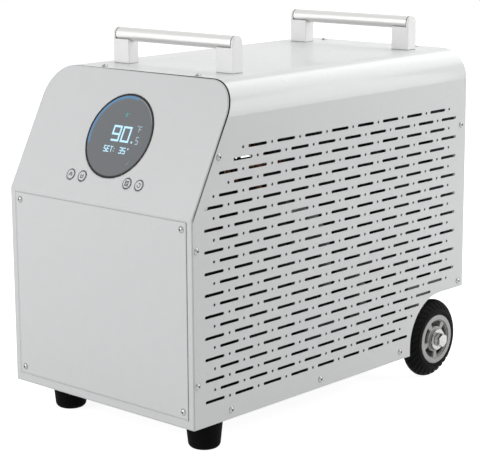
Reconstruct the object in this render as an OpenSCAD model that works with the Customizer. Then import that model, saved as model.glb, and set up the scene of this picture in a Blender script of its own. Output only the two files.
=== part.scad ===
// Chiller for an ice bath: a sheet steel casing on two feet and two wheels.
// Millimetres, +Z up, front towards -Y, origin under the middle of the whole on the floor.

/* [Casing] */
// Width over the side sheets
body_w = 372; // [340:1:420]
// Depth from the front face to the rear edge of the cover
body_d = 628; // [610:1:660]
// Height from the lower edge of the casing to its top
body_h = 472; // [460:1:500]
// Height of the bend between front panel and control face
bend_h = 296; // [290:1:304]
// How far the control face leans back
slope_run = 92; // [84:1:100]
// Outer radius of the bends along the top edges
corner_r = 46; // [30:1:50]
// Thickness of the cover sheet
sheet_t = 1.2; // [0.8:0.1:1.6]
// Thickness of the front, rear and tray sheets
frame_t = 1.5; // [1.2:0.1:2]
// Depth of the folded returns that the cover is screwed to
return_d = 24; // [22:1:26]
// Shadow gap between control face and cover
shadow_gap = 2.6; // [1:0.1:4]
// Height of the rear lower edge over the casing's lower edge
rear_raise = 89.6; // [86:0.1:94]
// Distance of the cover's side screws from its edges
edge_inset = 8.5; // [7:0.1:10]

/* [Vents] */
// Spacing of the slots along a row
slot_pitch = 60; // [52:1:70]
// Spacing of the rows
row_pitch = 15.1; // [13:0.1:17]
// Number of rows
row_count = 24; // [4:1:24]
// Number of places along the first row
place_count = 17; // [3:1:17]
// Length of a slot
slot_l = 38.5; // [28:0.5:42]
// Width of a slot
slot_w = 4.4; // [3:0.1:6]
// Diameter of a dot
dot_d = 4.2; // [3:0.1:6]
// First place of the first row behind the front face
vent_y = 103; // [96:1:112]
// Height of the first row
vent_z = 382; // [380:1:390]
// Least metal between a vent and the wheel arch or the lower edge
vent_margin = 6; // [4:0.5:12]

/* [Front panel] */
// Margin of the front frame beside the panel
margin_x = 9.5; // [7:0.5:12]
// Margin of the front frame under the panel
margin_z = 12.5; // [10:0.5:16]
// Gap beside the panel
panel_gap = 1.3; // [0.6:0.1:2.4]
// Gap over and under the panel
panel_gap_z = 0.5; // [0.3:0.1:2]
// Distance from the bend to the panel's opening
panel_drop = 5; // [4:0.5:8]
// Distance of the panel's screws from the side of the casing
panel_screw_x = 20; // [18:0.5:24]
// Distance of the panel's screws from its upper and lower edge
panel_screw_z = 11; // [9:0.5:14]
// Width of the ledge behind the panel
ledge_w = 22; // [20:0.5:28]

/* [Display and buttons] */
// Radius of the display over its black rim
display_r = 63.8; // [56:0.2:66]
// Height of the display's centre up the control face
display_s = 101; // [96:1:106]
// Width of the black rim
rim_w = 1.6; // [1:0.1:4]
// Thickness of the display glass
lens_t = 2; // [1.5:0.1:3]
// Radius of a button cap
button_r = 7.6; // [6:0.1:8]
// Gap round a button cap
button_gap = 0.9; // [0.4:0.1:1.2]
// Height of the button row up the control face
button_s = 34.4; // [32:0.2:36]
// Distance from the middle to the inner buttons
button_in = 46; // [44:0.5:50]
// Distance from the middle to the outer buttons
button_out = 70; // [68:0.5:76]
// Travel of a button
button_travel = 0.8; // [0.4:0.1:1]
// How far a cap stands proud of the control face
button_proud = 0.7; // [0.3:0.1:1.2]

/* [Handles] */
// Length of a handle over its end cheeks
handle_l = 242; // [200:1:260]
// Diameter of the tube, and depth of the posts
handle_d = 20; // [16:0.5:24]
// Height of the tube's centre over the casing
handle_z = 42.8; // [38:0.1:50]
// Length of a post with its cheek
post_l = 32; // [26:1:40]
// Thickness of a cheek
cheek_t = 4; // [3:0.5:6]
// How high a post rises beside the tube
post_h = 36; // [35:0.5:37]
// Front handle's middle behind the front face
handle_front_y = 164; // [150:1:180]
// Rear handle's middle in front of the rear edge
handle_rear_y = 58; // [50:1:70]

/* [Feet] */
// Height of a foot: the ground clearance of the casing
foot_h = 49; // [46:0.5:51]
// Radius of a foot at the casing
foot_top_r = 28; // [24:0.5:32]
// Radius of a foot near the floor
foot_low_r = 23.5; // [20:0.5:26]
// Rounding of a foot at the floor
foot_round = 8; // [4:0.5:10]
// Distance of a foot from the side of the casing
foot_x = 45; // [40:0.5:60]
// Distance of a foot behind the front face
foot_y = 67; // [60:0.5:80]

/* [Wheels] */
// Radius of a tyre
wheel_r = 62.5; // [60:0.1:65]
// Width of a tyre
tyre_w = 34; // [30:1:38]
// How far the wheel's outer face stands out of the cover's side
wheel_proud = 0.5; // [-4:0.5:2]
// Wheel centre behind the front face
axle_y = 560; // [556:1:564]
// Radius of the wheel arch
arch_r = 76; // [74:0.5:80]
// Centre of the wheel arch behind the wheel centre
arch_shift = 6; // [2:0.5:8]
// Radius of the axle
axle_r = 6; // [5:0.5:8]
// Radius of the rim's visible face
rim_r = 39; // [36:0.5:40]
// Width across the flats of a hub nut
nut_af = 19; // [17:0.5:24]
// Number of tread grooves on each shoulder
tread_count = 26; // [12:1:30]
// Depth of the tread grooves
tread_depth = 2.4; // [1:0.1:3]

/* [Cooling] */
// Radius of the fan
fan_r = 116; // [100:1:118]
// Height of the fan's centre over the casing's lower edge
fan_z = 300; // [296:1:304]
// Number of fan blades
blade_count = 5; // [3:1:7]
// Radius of the compressor shell
compressor_r = 74; // [60:1:76]
// Height of the compressor shell
compressor_h = 215; // [180:1:230]
// Radius of the heat exchanger
exchanger_r = 58; // [48:1:60]
// Height of the heat exchanger
exchanger_h = 290; // [250:1:300]
// Radius of the pump's volute
volute_r = 40; // [36:1:42]

/* [Connections] */
// Radius of a water fitting's spigot
spigot_r = 13.2; // [11:0.1:14]
// How far a spigot stands out of the rear edge of the cover
spigot_l = 34; // [26:1:40]
// Radius of a water fitting's bore
spigot_bore_r = 9; // [7:0.1:9.5]
// Distance of each water fitting from the middle
fitting_x = 70; // [60:1:80]
// Height of the fittings over the casing's lower edge
fitting_z = 126; // [122:1:132]
// Distance of the power inlet from the middle
inlet_x = 138; // [132:1:142]

/* [Hidden] */
$fn = 64;
cut = 1;
seat = 0.2;
fit = 0.3;
running = 0.05;
hose_fit = 0.3;
lean = atan(slope_run / (body_h - bend_h));
tray_z = 2;
slope_screw_drop = 98;
slope_screw_in = 13.5;
tray_screw_y = 270;
riser_screw_in = 20;
flange_h = 26;
screw_r = 2.5;
screw_hole = 2.8;
head_r = 4.9;
head_h = 2.7;
hex_r = 1.7;
hex_depth = 1.5;
screw_l = 9;
inner_x = body_w / 2 - sheet_t - fit;
casing_w = body_w + 2 * cut;
front_y = -(body_d + spigot_l - head_h - seat) / 2;
axle_z = wheel_r - foot_h;
arch_y = axle_y + arch_shift;
riser_y = arch_y - arch_r - 6;
rear_y = body_d - 4;
wheel_x = body_w / 2 + wheel_proud - tyre_w / 2;
window_x = body_w / 2 - margin_x;
window_z = bend_h - panel_drop;
panel_skin = frame_t;
grommet_h = 12;
pipe_r = 4.8;
suction_r = 6.4;
hose_r = 10.5;
hose_bore = 7.5;
plug_fit = 0.3;
fan_hub_r = 36;
fan_y = rear_y - 34;
fan_t = 22;
collar_r = fan_r + 5;
core_w = 290;
core_low = 165;
core_high = 438;
core_y = riser_y + 14;
core_t = 40;
shroud_y = core_y + core_t + seat;
shroud_t = 34;
motor_r = 32;
motor_l = 30;
motor_gap = 6;
shaft_r = 4;
volute_x = 118;
volute_y = 395;
volute_z = 66;
volute_t = 34;
pump_motor_r = 34;
pump_motor_l = 100;
impeller_r = 26;
port_r = 12;
compressor_x = -88;
compressor_y = 250;
outlet_x = volute_x - volute_r + port_r;
exchanger_x = outlet_x;
exchanger_gap = 4.8;
disc_gap = 6;
exchanger_y = volute_y - volute_t / 2 - seat - pump_motor_l - exchanger_gap - exchanger_r;
shelf_z = rear_raise + frame_t;
box_x = -150;
box_w = 190;
box_y = 40;
box_d = 70;
box_z = 60;
box_h = 170;
wall_y = box_y + box_d + seat;
board_n = 13;
switch_n = 2.2;
flange_t = 1.2;
button_flange = 9.4;
module_t = 22;
module_r = display_r - 3;
bezel_flange_r = display_r + 5;
inlet_w = 30;
inlet_h = 48;
inlet_z = 150;
rocker_z = 196;
rocker_r = 9;
pivot_r = 1.5;
switch_w = 15;
switch_h = 21;
switch_wall = 2;
pin_l = 1;
top_x = 95;
post_in = handle_l / 2 - post_l;
post_out = handle_l / 2 - cheek_t;
post_screw_x = [post_in + post_l * 0.2, post_in + post_l * 0.8];
post_screw_l = 20;
rear_lip = 18;
guard_t = 2.5;
mount_bolt_r = 3;
foot_bolt_r = 4;
foot_well = 30;
foot_well_r = 12;
bezel_depth = 6;
rim_proud = 0.6;
lip_w = 3;
board_up = 5;
board_down = 8;
switch_size = 6;
standoff_r = 3;
bracket_t = 3;
bracket_w = 44;
bearing_r = 11;
bearing_l = 8;
hub_r = 17;
hub_proud = 1;
washer_t = 2;
washer_r = 16.5;
nut_l = 10.8;
nut_dome = 40;
rim_lip = 3;
rim_step = 3;
rim_wall = 2;
web_t = 5;
web_recess = 2;
slot_in = 20.5;
slot_out = 30;
slot_sweep = 54;
slot_turn = 7;
groove_w = 3;
groove_slant = 25;
groove_tilt = 47;
button_places = [-button_out, -button_in, button_in, button_out];
foot_pitch = 62;
pipe_wall = 1;
stub_l = 8;
boss_l = 4;
barb_l = 14;
short_barb_l = 8;
port_bore = 5.5;
shaft_l = 24;
shaft_reach = 18;
ear_r = 7;
ear_gap = 5.5;
guard_over = 4;
guard_in = 22;
guard_reach = 12;
guard_ear_r = fan_r + guard_reach;
guard_step = 16;
rear_screw_x = body_w / 2 - panel_screw_x + 2 * cut;
blade_gap = 2;
nut_h = 5;
nut_w = 10;
foot_nut_h = 6.5;
foot_nut_w = 13;
bolt_over = 1.3;
standoff_out = 15;
standoff_in = 30;
standoff_drop = 3.4;
board_margin = 20;
bracket_gap = 9;
bracket_flange = 34;
bracket_bolt_x = 22;
bracket_bolt_y = 13;
axle_grip = 5;
plate_t = 3;
plate_margin = 10;
gas_port_x = 22;
suction_shift = 35;
gas_boss_r = 9;
top_port_drop = 40;
low_port_z = 45;
coil_x = -110;
coil_inset = 18;
coil_boss = 2;
drier_gap = 44;
drier_l = 96;
drier_r = 16;
drier_neck = 7;
drier_taper = 14;
lane_gap = 36;
fitting_in = 24;
fitting_nut = 6;
plug_lip = 2;
pivot_out = 3;

// The casing's own frame: Y from the front face, Z from its lower edge.
module casing() { translate([0, front_y, foot_h]) children(); }

// Puts a drawing in (y, z) across the width w about the middle.
module along_x(w) { translate([-w / 2, 0, 0]) rotate([90, 0, 90]) linear_extrude(w) children(); }

// Puts a drawing in (x, z) along the depth from y to y + l.
module along_y(y, l) { translate([0, y + l, 0]) rotate([90, 0, 0]) linear_extrude(l) children(); }

// A frame on the control face: X across, Y up the slope from the bend, Z out of the face.
module on_slope() { translate([0, 0, bend_h]) rotate([90 - lean, 0, 0]) children(); }

module both_sides() { for (s = [0, 1]) mirror([s, 0, 0]) children(); }

module tube(r_out, r_in, l) {
  difference() {
    cylinder(r = r_out, h = l);
    translate([0, 0, -cut]) cylinder(r = r_in, h = l + 2 * cut);
  }
}

// A cylinder lying along +X or along +Y.
module rod_x(r, l) { rotate([0, 90, 0]) cylinder(r = r, h = l); }
module rod_y(r, l) { rotate([-90, 0, 0]) cylinder(r = r, h = l); }

// Button-head screw: the head stands on z = 0, the shank goes down.
module screw(l = screw_l) {
  dome = (head_r * head_r + head_h * head_h) / (2 * head_h);
  difference() {
    intersection() {
      cylinder(r = head_r, h = head_h);
      translate([0, 0, head_h - dome]) sphere(dome);
    }
    translate([0, 0, head_h - hex_depth]) cylinder(r = hex_r, h = hex_depth + cut, $fn = 6);
  }
  translate([0, 0, -l]) cylinder(r = screw_r, h = l);
}

// Round-topped outline of the casing seen from the front, drawn in by inset.
module casing_outline(inset, below = 0) {
  w = body_w - 2 * inset;
  r = corner_r - inset;
  h = body_h - inset;
  translate([-w / 2, -below]) square([w, h - r + below]);
  translate([r - w / 2, -below]) square([w - 2 * r, h + below]);
  for (s = [-1, 1]) translate([s * (w / 2 - r), h - r]) circle(r);
}

// Line of the front seen from the side, o behind the lower face and so behind the slope.
function front_line(o, so) = let (
  low = bend_h - so * sin(lean) + (o - so * cos(lean)) / tan(lean),
  top = body_h + corner_r
) [[o, low], [slope_run + so / cos(lean) + corner_r * tan(lean), top]];

module behind_front(o, so, depth) {
  line = front_line(o, so);
  polygon([[o, -cut], line[0], line[1], [depth, line[1][1]], [depth, -cut]]);
}

// Places of the side screws, as [y, z] pairs.
function slope_y(z) = (z - bend_h) * tan(lean);
side_places = [
  [edge_inset, bend_h * 0.21], [edge_inset, bend_h * 0.85],
  [slope_y(body_h - slope_screw_drop) + slope_screw_in, body_h - slope_screw_drop],
  [foot_y + edge_inset, flange_h / 2], [tray_screw_y, flange_h / 2], [riser_y - riser_screw_in, flange_h / 2],
  [rear_y - edge_inset, rear_raise + edge_inset + frame_t], [rear_y - edge_inset, body_h * 0.75]
];
top_places = [slope_run + return_d / cos(lean) - edge_inset, rear_y - edge_inset];

// Rows of slots and dots, staggered row by row.
function row_start(i) = max(-2, -floor(i / 2));
function in_arch(y, z) = norm([y - arch_y, z - axle_z]) < arch_r + vent_margin
  || (y > arch_y - arch_r - vent_margin && z < axle_z);
function too_low(y, z) = y > arch_y - vent_margin * 3 && z < rear_raise + vent_margin + slot_w / 2;
module vents() {
  for (i = [0 : row_count - 1], j = [row_start(i) : place_count - 1]) {
    is_slot = (i + j + 2) % 2 == 1;
    y = vent_y + j * slot_pitch / 2;
    z = vent_z - i * row_pitch;
    half = is_slot ? slot_l / 2 : dot_d / 2;
    clear = !in_arch(y + half, z) && !in_arch(y, z) && !too_low(y + half, z);
    if (clear) translate([y, z]) {
      if (is_slot) {
        straight = slot_l / 2 - slot_w / 2;
        translate([-straight, -slot_w / 2]) square([2 * straight, slot_w]);
        for (s = [-1, 1]) translate([s * straight, 0]) circle(d = slot_w, $fn = 24);
      } else {
        circle(d = dot_d, $fn = 24);
      }
    }
  }
}

module cover_side() {
  difference() {
    intersection() {
      behind_front(frame_t + fit, frame_t + shadow_gap, body_d);
      square([body_d, body_h + corner_r]);
    }
    translate([arch_y, axle_z]) circle(arch_r, $fn = 96);
    translate([arch_y, -cut]) square([body_d, rear_raise + cut]);
    translate([arch_y - arch_r, -cut]) square([body_d, axle_z + cut]);
    vents();
    for (p = side_places) translate(p) circle(screw_hole);
  }
}

module cover() {
  color("whitesmoke") casing() difference() {
    intersection() {
      along_y(0, body_d) difference() {
        casing_outline(0);
        casing_outline(sheet_t, cut);
      }
      along_x(casing_w) cover_side();
    }
    for (s = [-1, 1], y = top_places) translate([s * top_x, y, 0])
      translate([0, 0, body_h - corner_r]) cylinder(r = screw_hole, h = corner_r + cut);
    for (y = [handle_front_y, body_d - handle_rear_y], x = post_screw_x) both_sides()
      translate([x, y, body_h - corner_r]) cylinder(r = screw_hole, h = corner_r + cut);
  }
}

module front_frame() {
  color("gainsboro") casing() difference() {
    union() {
      intersection() {
        along_y(0, body_d) casing_outline(0);
        along_x(casing_w) difference() {
          behind_front(0, 0, body_d);
          behind_front(frame_t, frame_t, body_d + cut);
        }
      }
      intersection() {
        along_y(0, body_d) difference() {
          casing_outline(sheet_t + fit);
          casing_outline(sheet_t + fit + frame_t, cut);
        }
        along_x(casing_w) difference() {
          behind_front(frame_t / 2, frame_t / 2, body_d);
          behind_front(return_d, return_d, body_d + cut);
        }
      }
      translate([-window_x - 2 * frame_t, frame_t / 2, margin_z - 2 * frame_t])
        cube([
          2 * window_x + 4 * frame_t, panel_skin + seat + frame_t / 2, window_z - margin_z + 3 * frame_t
        ]);
    }
    translate([-window_x, -cut, margin_z]) cube([2 * window_x, frame_t + seat + cut, window_z - margin_z]);
    translate([ledge_w - window_x, -cut, margin_z + ledge_w])
      cube([2 * (window_x - ledge_w), return_d, window_z - margin_z - 2 * ledge_w]);
    for (p = panel_places) translate([p[0], -cut, p[1]]) rod_y(screw_hole, return_d);
    for (p = side_places) translate([-casing_w / 2, p[0], p[1]]) rod_x(screw_hole, casing_w);
    for (s = [-1, 1]) translate([s * top_x, top_places[0], body_h - corner_r])
      cylinder(r = screw_hole, h = corner_r + cut);
    on_slope() {
      translate([0, display_s, -return_d]) cylinder(r = display_r + fit, h = 2 * return_d);
      for (x = button_places) translate([x, button_s, -return_d])
        cylinder(r = button_r + button_gap, h = 2 * return_d);
    }
  }
}

panel_places = [for (s = [-1, 1], z = [margin_z + panel_screw_z, window_z - panel_screw_z])
  [s * (body_w / 2 - panel_screw_x), z]];

module front_panel() {
  color("white") casing() difference() {
    translate([panel_gap - window_x, 0, margin_z + panel_gap_z])
      cube([2 * (window_x - panel_gap), panel_skin, window_z - margin_z - 2 * panel_gap_z]);
    for (p = panel_places) translate([p[0], -cut, p[1]]) rod_y(screw_hole, panel_skin + 2 * cut);
  }
}

rear_screw_places = [for (x = [-1, 0, 1]) [x * rear_screw_x, rear_raise + rear_lip / 2 + frame_t / 2]];
guard_places = [for (a = [45 : 90 : 315]) [guard_ear_r * cos(a), fan_z + guard_ear_r * sin(a)]];

module rear_panel() {
  in = sheet_t + fit;
  color("gainsboro") casing() difference() {
    union() {
      intersection() {
        along_y(rear_y - frame_t, frame_t) casing_outline(in);
        translate([-casing_w / 2, 0, rear_raise + fit]) cube([casing_w, body_d, body_h]);
      }
      intersection() {
        along_y(rear_y - return_d, return_d - frame_t / 2) difference() {
          casing_outline(in);
          casing_outline(in + frame_t, cut);
        }
        translate([-casing_w / 2, 0, rear_raise + flange_h]) cube([casing_w, body_d, body_h]);
      }
    }
    translate([0, rear_y - return_d, fan_z]) rod_y(fan_r + blade_gap, body_d);
    for (s = [-1, 1]) translate([s * fitting_x, rear_y - return_d, fitting_z])
      rod_y(spigot_r + plug_fit, body_d);
    translate([inlet_x - inlet_w / 2 - plug_fit, rear_y - return_d / 2, inlet_z - inlet_h / 2 - plug_fit])
      cube([inlet_w + 2 * plug_fit, body_d, inlet_h + 2 * plug_fit]);
    translate([inlet_x - switch_w / 2 - plug_fit, rear_y - return_d / 2, rocker_z - switch_h / 2 - plug_fit])
      cube([switch_w + 2 * plug_fit, body_d, switch_h + 2 * plug_fit]);
    for (p = concat(rear_screw_places, guard_places)) translate([p[0], rear_y - return_d, p[1]])
      rod_y(screw_hole, body_d);
    for (p = side_places) translate([-casing_w / 2, p[0], p[1]]) rod_x(screw_hole, casing_w);
    for (s = [-1, 1]) translate([s * top_x, top_places[1], body_h - corner_r])
      cylinder(r = screw_hole, h = corner_r + cut);
  }
}

// Tray: a floor, a riser in front of the wheels and a shelf over them, with flanges all round.
module base_tray() {
  floor_front = frame_t + seat + panel_skin + fit;
  shelf_end = rear_y - frame_t - seat;
  flange_top = rear_raise + flange_h - seat;
  color([0.12, 0.12, 0.13]) casing() difference() {
    union() {
      translate([-inner_x, return_d + seat, tray_z]) cube([2 * inner_x, riser_y - return_d, frame_t]);
      translate([frame_t + seat - inner_x, floor_front, tray_z])
        cube([2 * (inner_x - frame_t - seat), return_d, frame_t]);
      translate([frame_t + seat - inner_x, floor_front, tray_z])
        cube([2 * (inner_x - frame_t - seat), frame_t, flange_h]);
      both_sides() translate([inner_x - frame_t, return_d + seat, tray_z])
        cube([frame_t, riser_y - return_d, flange_h]);
      translate([-inner_x, riser_y, tray_z]) cube([2 * inner_x, frame_t, rear_raise + frame_t - tray_z]);
      translate([-inner_x, riser_y, rear_raise]) cube([2 * inner_x, shelf_end - riser_y, frame_t]);
      both_sides() translate([inner_x - frame_t, riser_y, rear_raise])
        cube([frame_t, shelf_end - riser_y, flange_top - rear_raise]);
      translate([-inner_x, shelf_end - frame_t, rear_raise]) cube([2 * inner_x, frame_t, rear_lip]);
    }
    for (p = panel_places) translate([p[0], 0, p[1]]) rod_y(screw_hole, return_d);
    for (p = side_places) translate([-casing_w / 2, p[0], p[1]]) rod_x(screw_hole, casing_w);
    for (p = rear_screw_places) translate([p[0], rear_y - return_d, p[1]]) rod_y(screw_hole, return_d);
    both_sides() translate([body_w / 2 - foot_x, foot_y, tray_z - cut])
      cylinder(r = foot_bolt_r + fit, h = frame_t + 2 * cut);
    for (p = compressor_feet) translate([p[0], p[1], tray_z - cut])
      cylinder(r = mount_bolt_r + fit, h = frame_t + 2 * cut);
    for (p = bracket_places) both_sides() translate([p[0], p[1], rear_raise - cut])
      cylinder(r = mount_bolt_r + fit, h = frame_t + 2 * cut);
  }
}

module side_screws() {
  color("silver") casing() for (p = side_places) both_sides()
    translate([body_w / 2 + seat, p[0], p[1]]) rotate([0, 90, 0]) screw();
}

module top_screws() {
  color("silver") casing() for (s = [-1, 1], y = top_places)
    translate([s * top_x, y, body_h + seat]) screw();
}

module front_panel_screws() {
  color("silver") casing() for (p = panel_places) translate([p[0], -seat, p[1]]) rotate([90, 0, 0]) screw();
}

module rear_screws() {
  color("silver") casing() {
    for (p = rear_screw_places) translate([p[0], rear_y + seat, p[1]]) rotate([-90, 0, 0]) screw();
    for (p = guard_places) translate([p[0], rear_y + guard_t + 2 * seat, p[1]]) rotate([-90, 0, 0]) screw();
  }
}

// Handles: a tube between two posts, each with a round-topped cheek that closes the tube's end.
handle_places = [handle_front_y, body_d - handle_rear_y];

module handle_tube(y) {
  color("ghostwhite") casing() translate([seat - post_out, y, body_h + handle_z])
    rod_x(handle_d / 2, 2 * (post_out - seat));
}

module handle_posts(y) {
  color("gainsboro") casing() both_sides() translate([0, y, body_h + seat]) difference() {
    union() {
      translate([post_in, -handle_d / 2, 0]) cube([post_l, handle_d, post_h - seat]);
      translate([post_out, -handle_d / 2, 0]) cube([cheek_t, handle_d, handle_z - seat]);
      translate([post_out, 0, handle_z - seat]) rod_x(handle_d / 2, cheek_t);
    }
    translate([post_in - cut, 0, handle_z - seat]) rod_x(handle_d / 2 + seat, post_l - cheek_t + cut);
    for (x = post_screw_x) translate([x, 0, -cut]) cylinder(r = screw_r + running, h = post_screw_l);
  }
}

module handle_screws() {
  color("silver") casing() for (y = handle_places, x = post_screw_x) both_sides()
    translate([x, y, body_h - sheet_t - seat]) mirror([0, 0, 1]) screw(post_screw_l - 3 * cut);
}

module front_handle_tube() { handle_tube(handle_places[0]); }
module front_handle_posts() { handle_posts(handle_places[0]); }
module rear_handle_tube() { handle_tube(handle_places[1]); }
module rear_handle_posts() { handle_posts(handle_places[1]); }

// Display: a black rim in the control face, a smoked glass on its lip, the module behind.
module display_bezel() {
  color("black") casing() on_slope() translate([0, display_s, 0]) {
    translate([0, 0, -bezel_depth]) tube(display_r, display_r - rim_w, bezel_depth + rim_proud);
    translate([0, 0, -bezel_depth]) tube(display_r, display_r - rim_w - lip_w, bezel_depth - lens_t + seat);
    translate([0, 0, -frame_t - seat - flange_t]) tube(bezel_flange_r, display_r - rim_w, flange_t);
  }
}

module display_lens() {
  color([0.3, 0.32, 0.34, 0.9]) casing() on_slope() translate([0, display_s, 2 * seat - lens_t])
    cylinder(r = display_r - rim_w - seat, h = lens_t);
}

module display_module() {
  color("darkslategray") casing() on_slope() translate([0, display_s, -bezel_depth - seat - module_t])
    cylinder(r = module_r, h = module_t);
}

standoff_places = [for (s = [-1, 1])
  each [[s * (button_out + standoff_out), button_s], [s * standoff_in, button_s - standoff_drop]]];
board_x = button_out + board_margin;

module key_board() {
  color("darkgreen") casing() on_slope() {
    difference() {
      translate([-board_x, button_s - board_down, -board_n - frame_t])
        cube([2 * board_x, board_down + board_up, frame_t]);
      for (p = standoff_places) translate([p[0], p[1], -board_n - frame_t - cut])
        cylinder(r = standoff_r / 2, h = frame_t + 2 * cut);
    }
    for (x = button_places) translate([x - switch_size / 2, button_s - switch_size / 2, -board_n])
      cube([switch_size, switch_size, switch_n]);
  }
}

module board_standoffs() {
  color("goldenrod") casing() on_slope() for (p = standoff_places)
    translate([p[0], p[1], seat - board_n]) cylinder(r = standoff_r, h = board_n - frame_t - 2 * seat);
}

// Button: a cap with a flange that holds it behind the control face, and a stem to its switch.
module button(x) {
  stem_end = switch_n - board_n + button_travel + seat / 2;
  color("whitesmoke") casing() on_slope() translate([x, button_s, 0]) {
    translate([0, 0, -frame_t - fit]) cylinder(r = button_r, h = frame_t + fit + button_proud);
    translate([0, 0, -frame_t - fit - flange_t]) cylinder(r = button_flange, h = flange_t);
    translate([0, 0, stem_end]) cylinder(r = button_r / 3, h = -stem_end - frame_t - fit - flange_t / 2);
  }
}

module button_up() { button(button_places[0]); }
module button_down() { button(button_places[1]); }
module button_mode() { button(button_places[2]); }
module button_power() { button(button_places[3]); }

// Foot: a tapered rubber block with a rounded sole, open below for its bolt.
module front_feet() {
  top = foot_h + tray_z - seat;
  flat_r = foot_low_r - foot_round;
  arc = [for (a = [0 : 15 : 90]) [flat_r + foot_round * sin(a), foot_round * (1 - cos(a))]];
  color([0.1, 0.1, 0.1]) casing() both_sides()
    translate([body_w / 2 - foot_x, foot_y, -foot_h]) difference() {
      rotate_extrude() polygon(concat([[0, 0]], arc, [[foot_top_r, top], [0, top]]));
      translate([0, 0, -cut]) cylinder(r = foot_well_r, h = foot_well + cut);
      cylinder(r = foot_bolt_r + fit, h = top + cut);
    }
}

module hex_prism(af, h) { cylinder(r = af / 2 / cos(30), h = h, $fn = 6); }

module foot_bolts() {
  nut_z = tray_z + frame_t + seat;
  head_z = foot_well - foot_h - seat - foot_bolt_r / 2;
  bolt_top = nut_z + foot_nut_h + bolt_over;
  color("silver") casing() both_sides() translate([body_w / 2 - foot_x, foot_y, 0]) {
    translate([0, 0, foot_well - foot_h - seat - foot_bolt_r])
      hex_prism(foot_nut_w, foot_bolt_r);
    translate([0, 0, head_z])
      cylinder(r = foot_bolt_r, h = bolt_top - head_z);
    translate([0, 0, nut_z]) difference() {
      hex_prism(foot_nut_w, foot_nut_h);
      translate([0, 0, -cut]) cylinder(r = foot_bolt_r + running, h = foot_nut_h + 2 * cut);
    }
  }
}

// Axle bracket: a cheek that the axle runs through, with a flange bolted under the shelf.
bracket_x = wheel_x - tyre_w / 2 - bracket_gap;
bracket_places = [for (s = [-1, 1]) [bracket_x - bracket_bolt_x, axle_y + s * bracket_bolt_y]];
module axle_brackets() {
  top = rear_raise - seat;
  color("silver") casing() both_sides() difference() {
    union() {
      translate([bracket_x - bracket_t, axle_y - bracket_w / 2, axle_z - bracket_w / 2])
        cube([bracket_t, bracket_w, top - axle_z + bracket_w / 2]);
      translate([bracket_x - bracket_flange, axle_y - bracket_w / 2, top - bracket_t])
        cube([bracket_flange, bracket_w, bracket_t]);
    }
    translate([bracket_x - bracket_t - cut, axle_y, axle_z]) rod_x(axle_r + running, bracket_t + 2 * cut);
    for (p = bracket_places) translate([p[0], p[1], top - bracket_t - cut])
      cylinder(r = mount_bolt_r + fit, h = bracket_t + 2 * cut);
  }
}

module bracket_bolts() {
  under = rear_raise - 2 * seat - bracket_t;
  bolt_top = shelf_z + seat + nut_h + bolt_over;
  color("silver") casing() for (p = bracket_places) both_sides() translate([p[0], p[1], 0]) {
    translate([0, 0, under - nut_h]) hex_prism(nut_w, nut_h);
    translate([0, 0, under - cut]) cylinder(r = mount_bolt_r, h = bolt_top + cut - under);
    translate([0, 0, shelf_z + seat]) difference() {
      hex_prism(nut_w, nut_h);
      translate([0, 0, -cut]) cylinder(r = mount_bolt_r + running, h = nut_h + 2 * cut);
    }
  }
}

hub_face = wheel_x + tyre_w / 2 + hub_proud;
axle_end = hub_face + 2 * seat + washer_t + axle_grip;
module axle() {
  color("silver") casing() translate([-axle_end, axle_y, axle_z]) rod_x(axle_r, 2 * axle_end);
}

module axle_washers() {
  inner_l = wheel_x - tyre_w / 2 - bracket_x - 2 * seat;
  color("silver") casing() both_sides() {
    translate([bracket_x + seat, axle_y, axle_z]) rotate([0, 90, 0])
      tube(bearing_r, axle_r + running, inner_l);
    translate([hub_face + seat, axle_y, axle_z]) rotate([0, 90, 0])
      tube(washer_r, axle_r + running, washer_t);
  }
}

module axle_nuts() {
  color("silver") casing() both_sides() translate([hub_face + washer_t + 2 * seat, axle_y, axle_z])
    rotate([0, 90, 0]) difference() {
      intersection() {
        hex_prism(nut_af, nut_l);
        translate([0, 0, nut_l - nut_dome]) sphere(nut_dome);
      }
      translate([0, 0, -cut]) cylinder(r = axle_r + running, h = axle_end - hub_face - washer_t + cut);
    }
}

// Wheel in its own frame: axis Z, outward +Z, its middle at 0.
module on_right() { translate([wheel_x, axle_y, axle_z]) rotate([0, 90, 0]) children(); }

// Tyre section, as [along the axle, radius] in shares of half the width and of the wall.
tyre_shares = [
  [1, 0.02], [1, 0.24], [0.93, 0.33], [0.8, 0.45], [0.66, 0.58], [0.52, 0.72], [0.39, 0.84], [0.25, 0.94],
  [0.12, 0.99], [0, 1]
];
module tyre() {
  half = tyre_w / 2;
  wall = wheel_r - rim_r;
  right = [for (p = tyre_shares) [rim_r + fit + (wall - fit) * p[1], half * p[0]]];
  left = [for (i = [len(right) - 2 : -1 : 0]) [right[i][0], -right[i][1]]];
  bead = half - rim_lip + fit;
  well = rim_r + rim_step + fit;
  difference() {
    rotate_extrude($fn = 128) polygon(concat(right, left, [[well, -bead], [well, bead]]));
    for (s = [0, 1]) mirror([0, 0, s]) for (i = [0 : tread_count - 1])
      rotate([0, 0, (i + s / 2) * 360 / tread_count])
        translate([wheel_r - tread_depth, 0, half * 0.18]) rotate([groove_slant, -groove_tilt, 0])
          translate([0, -groove_w / 2, 0]) cube([half, groove_w, 2 * half]);
  }
}

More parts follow.
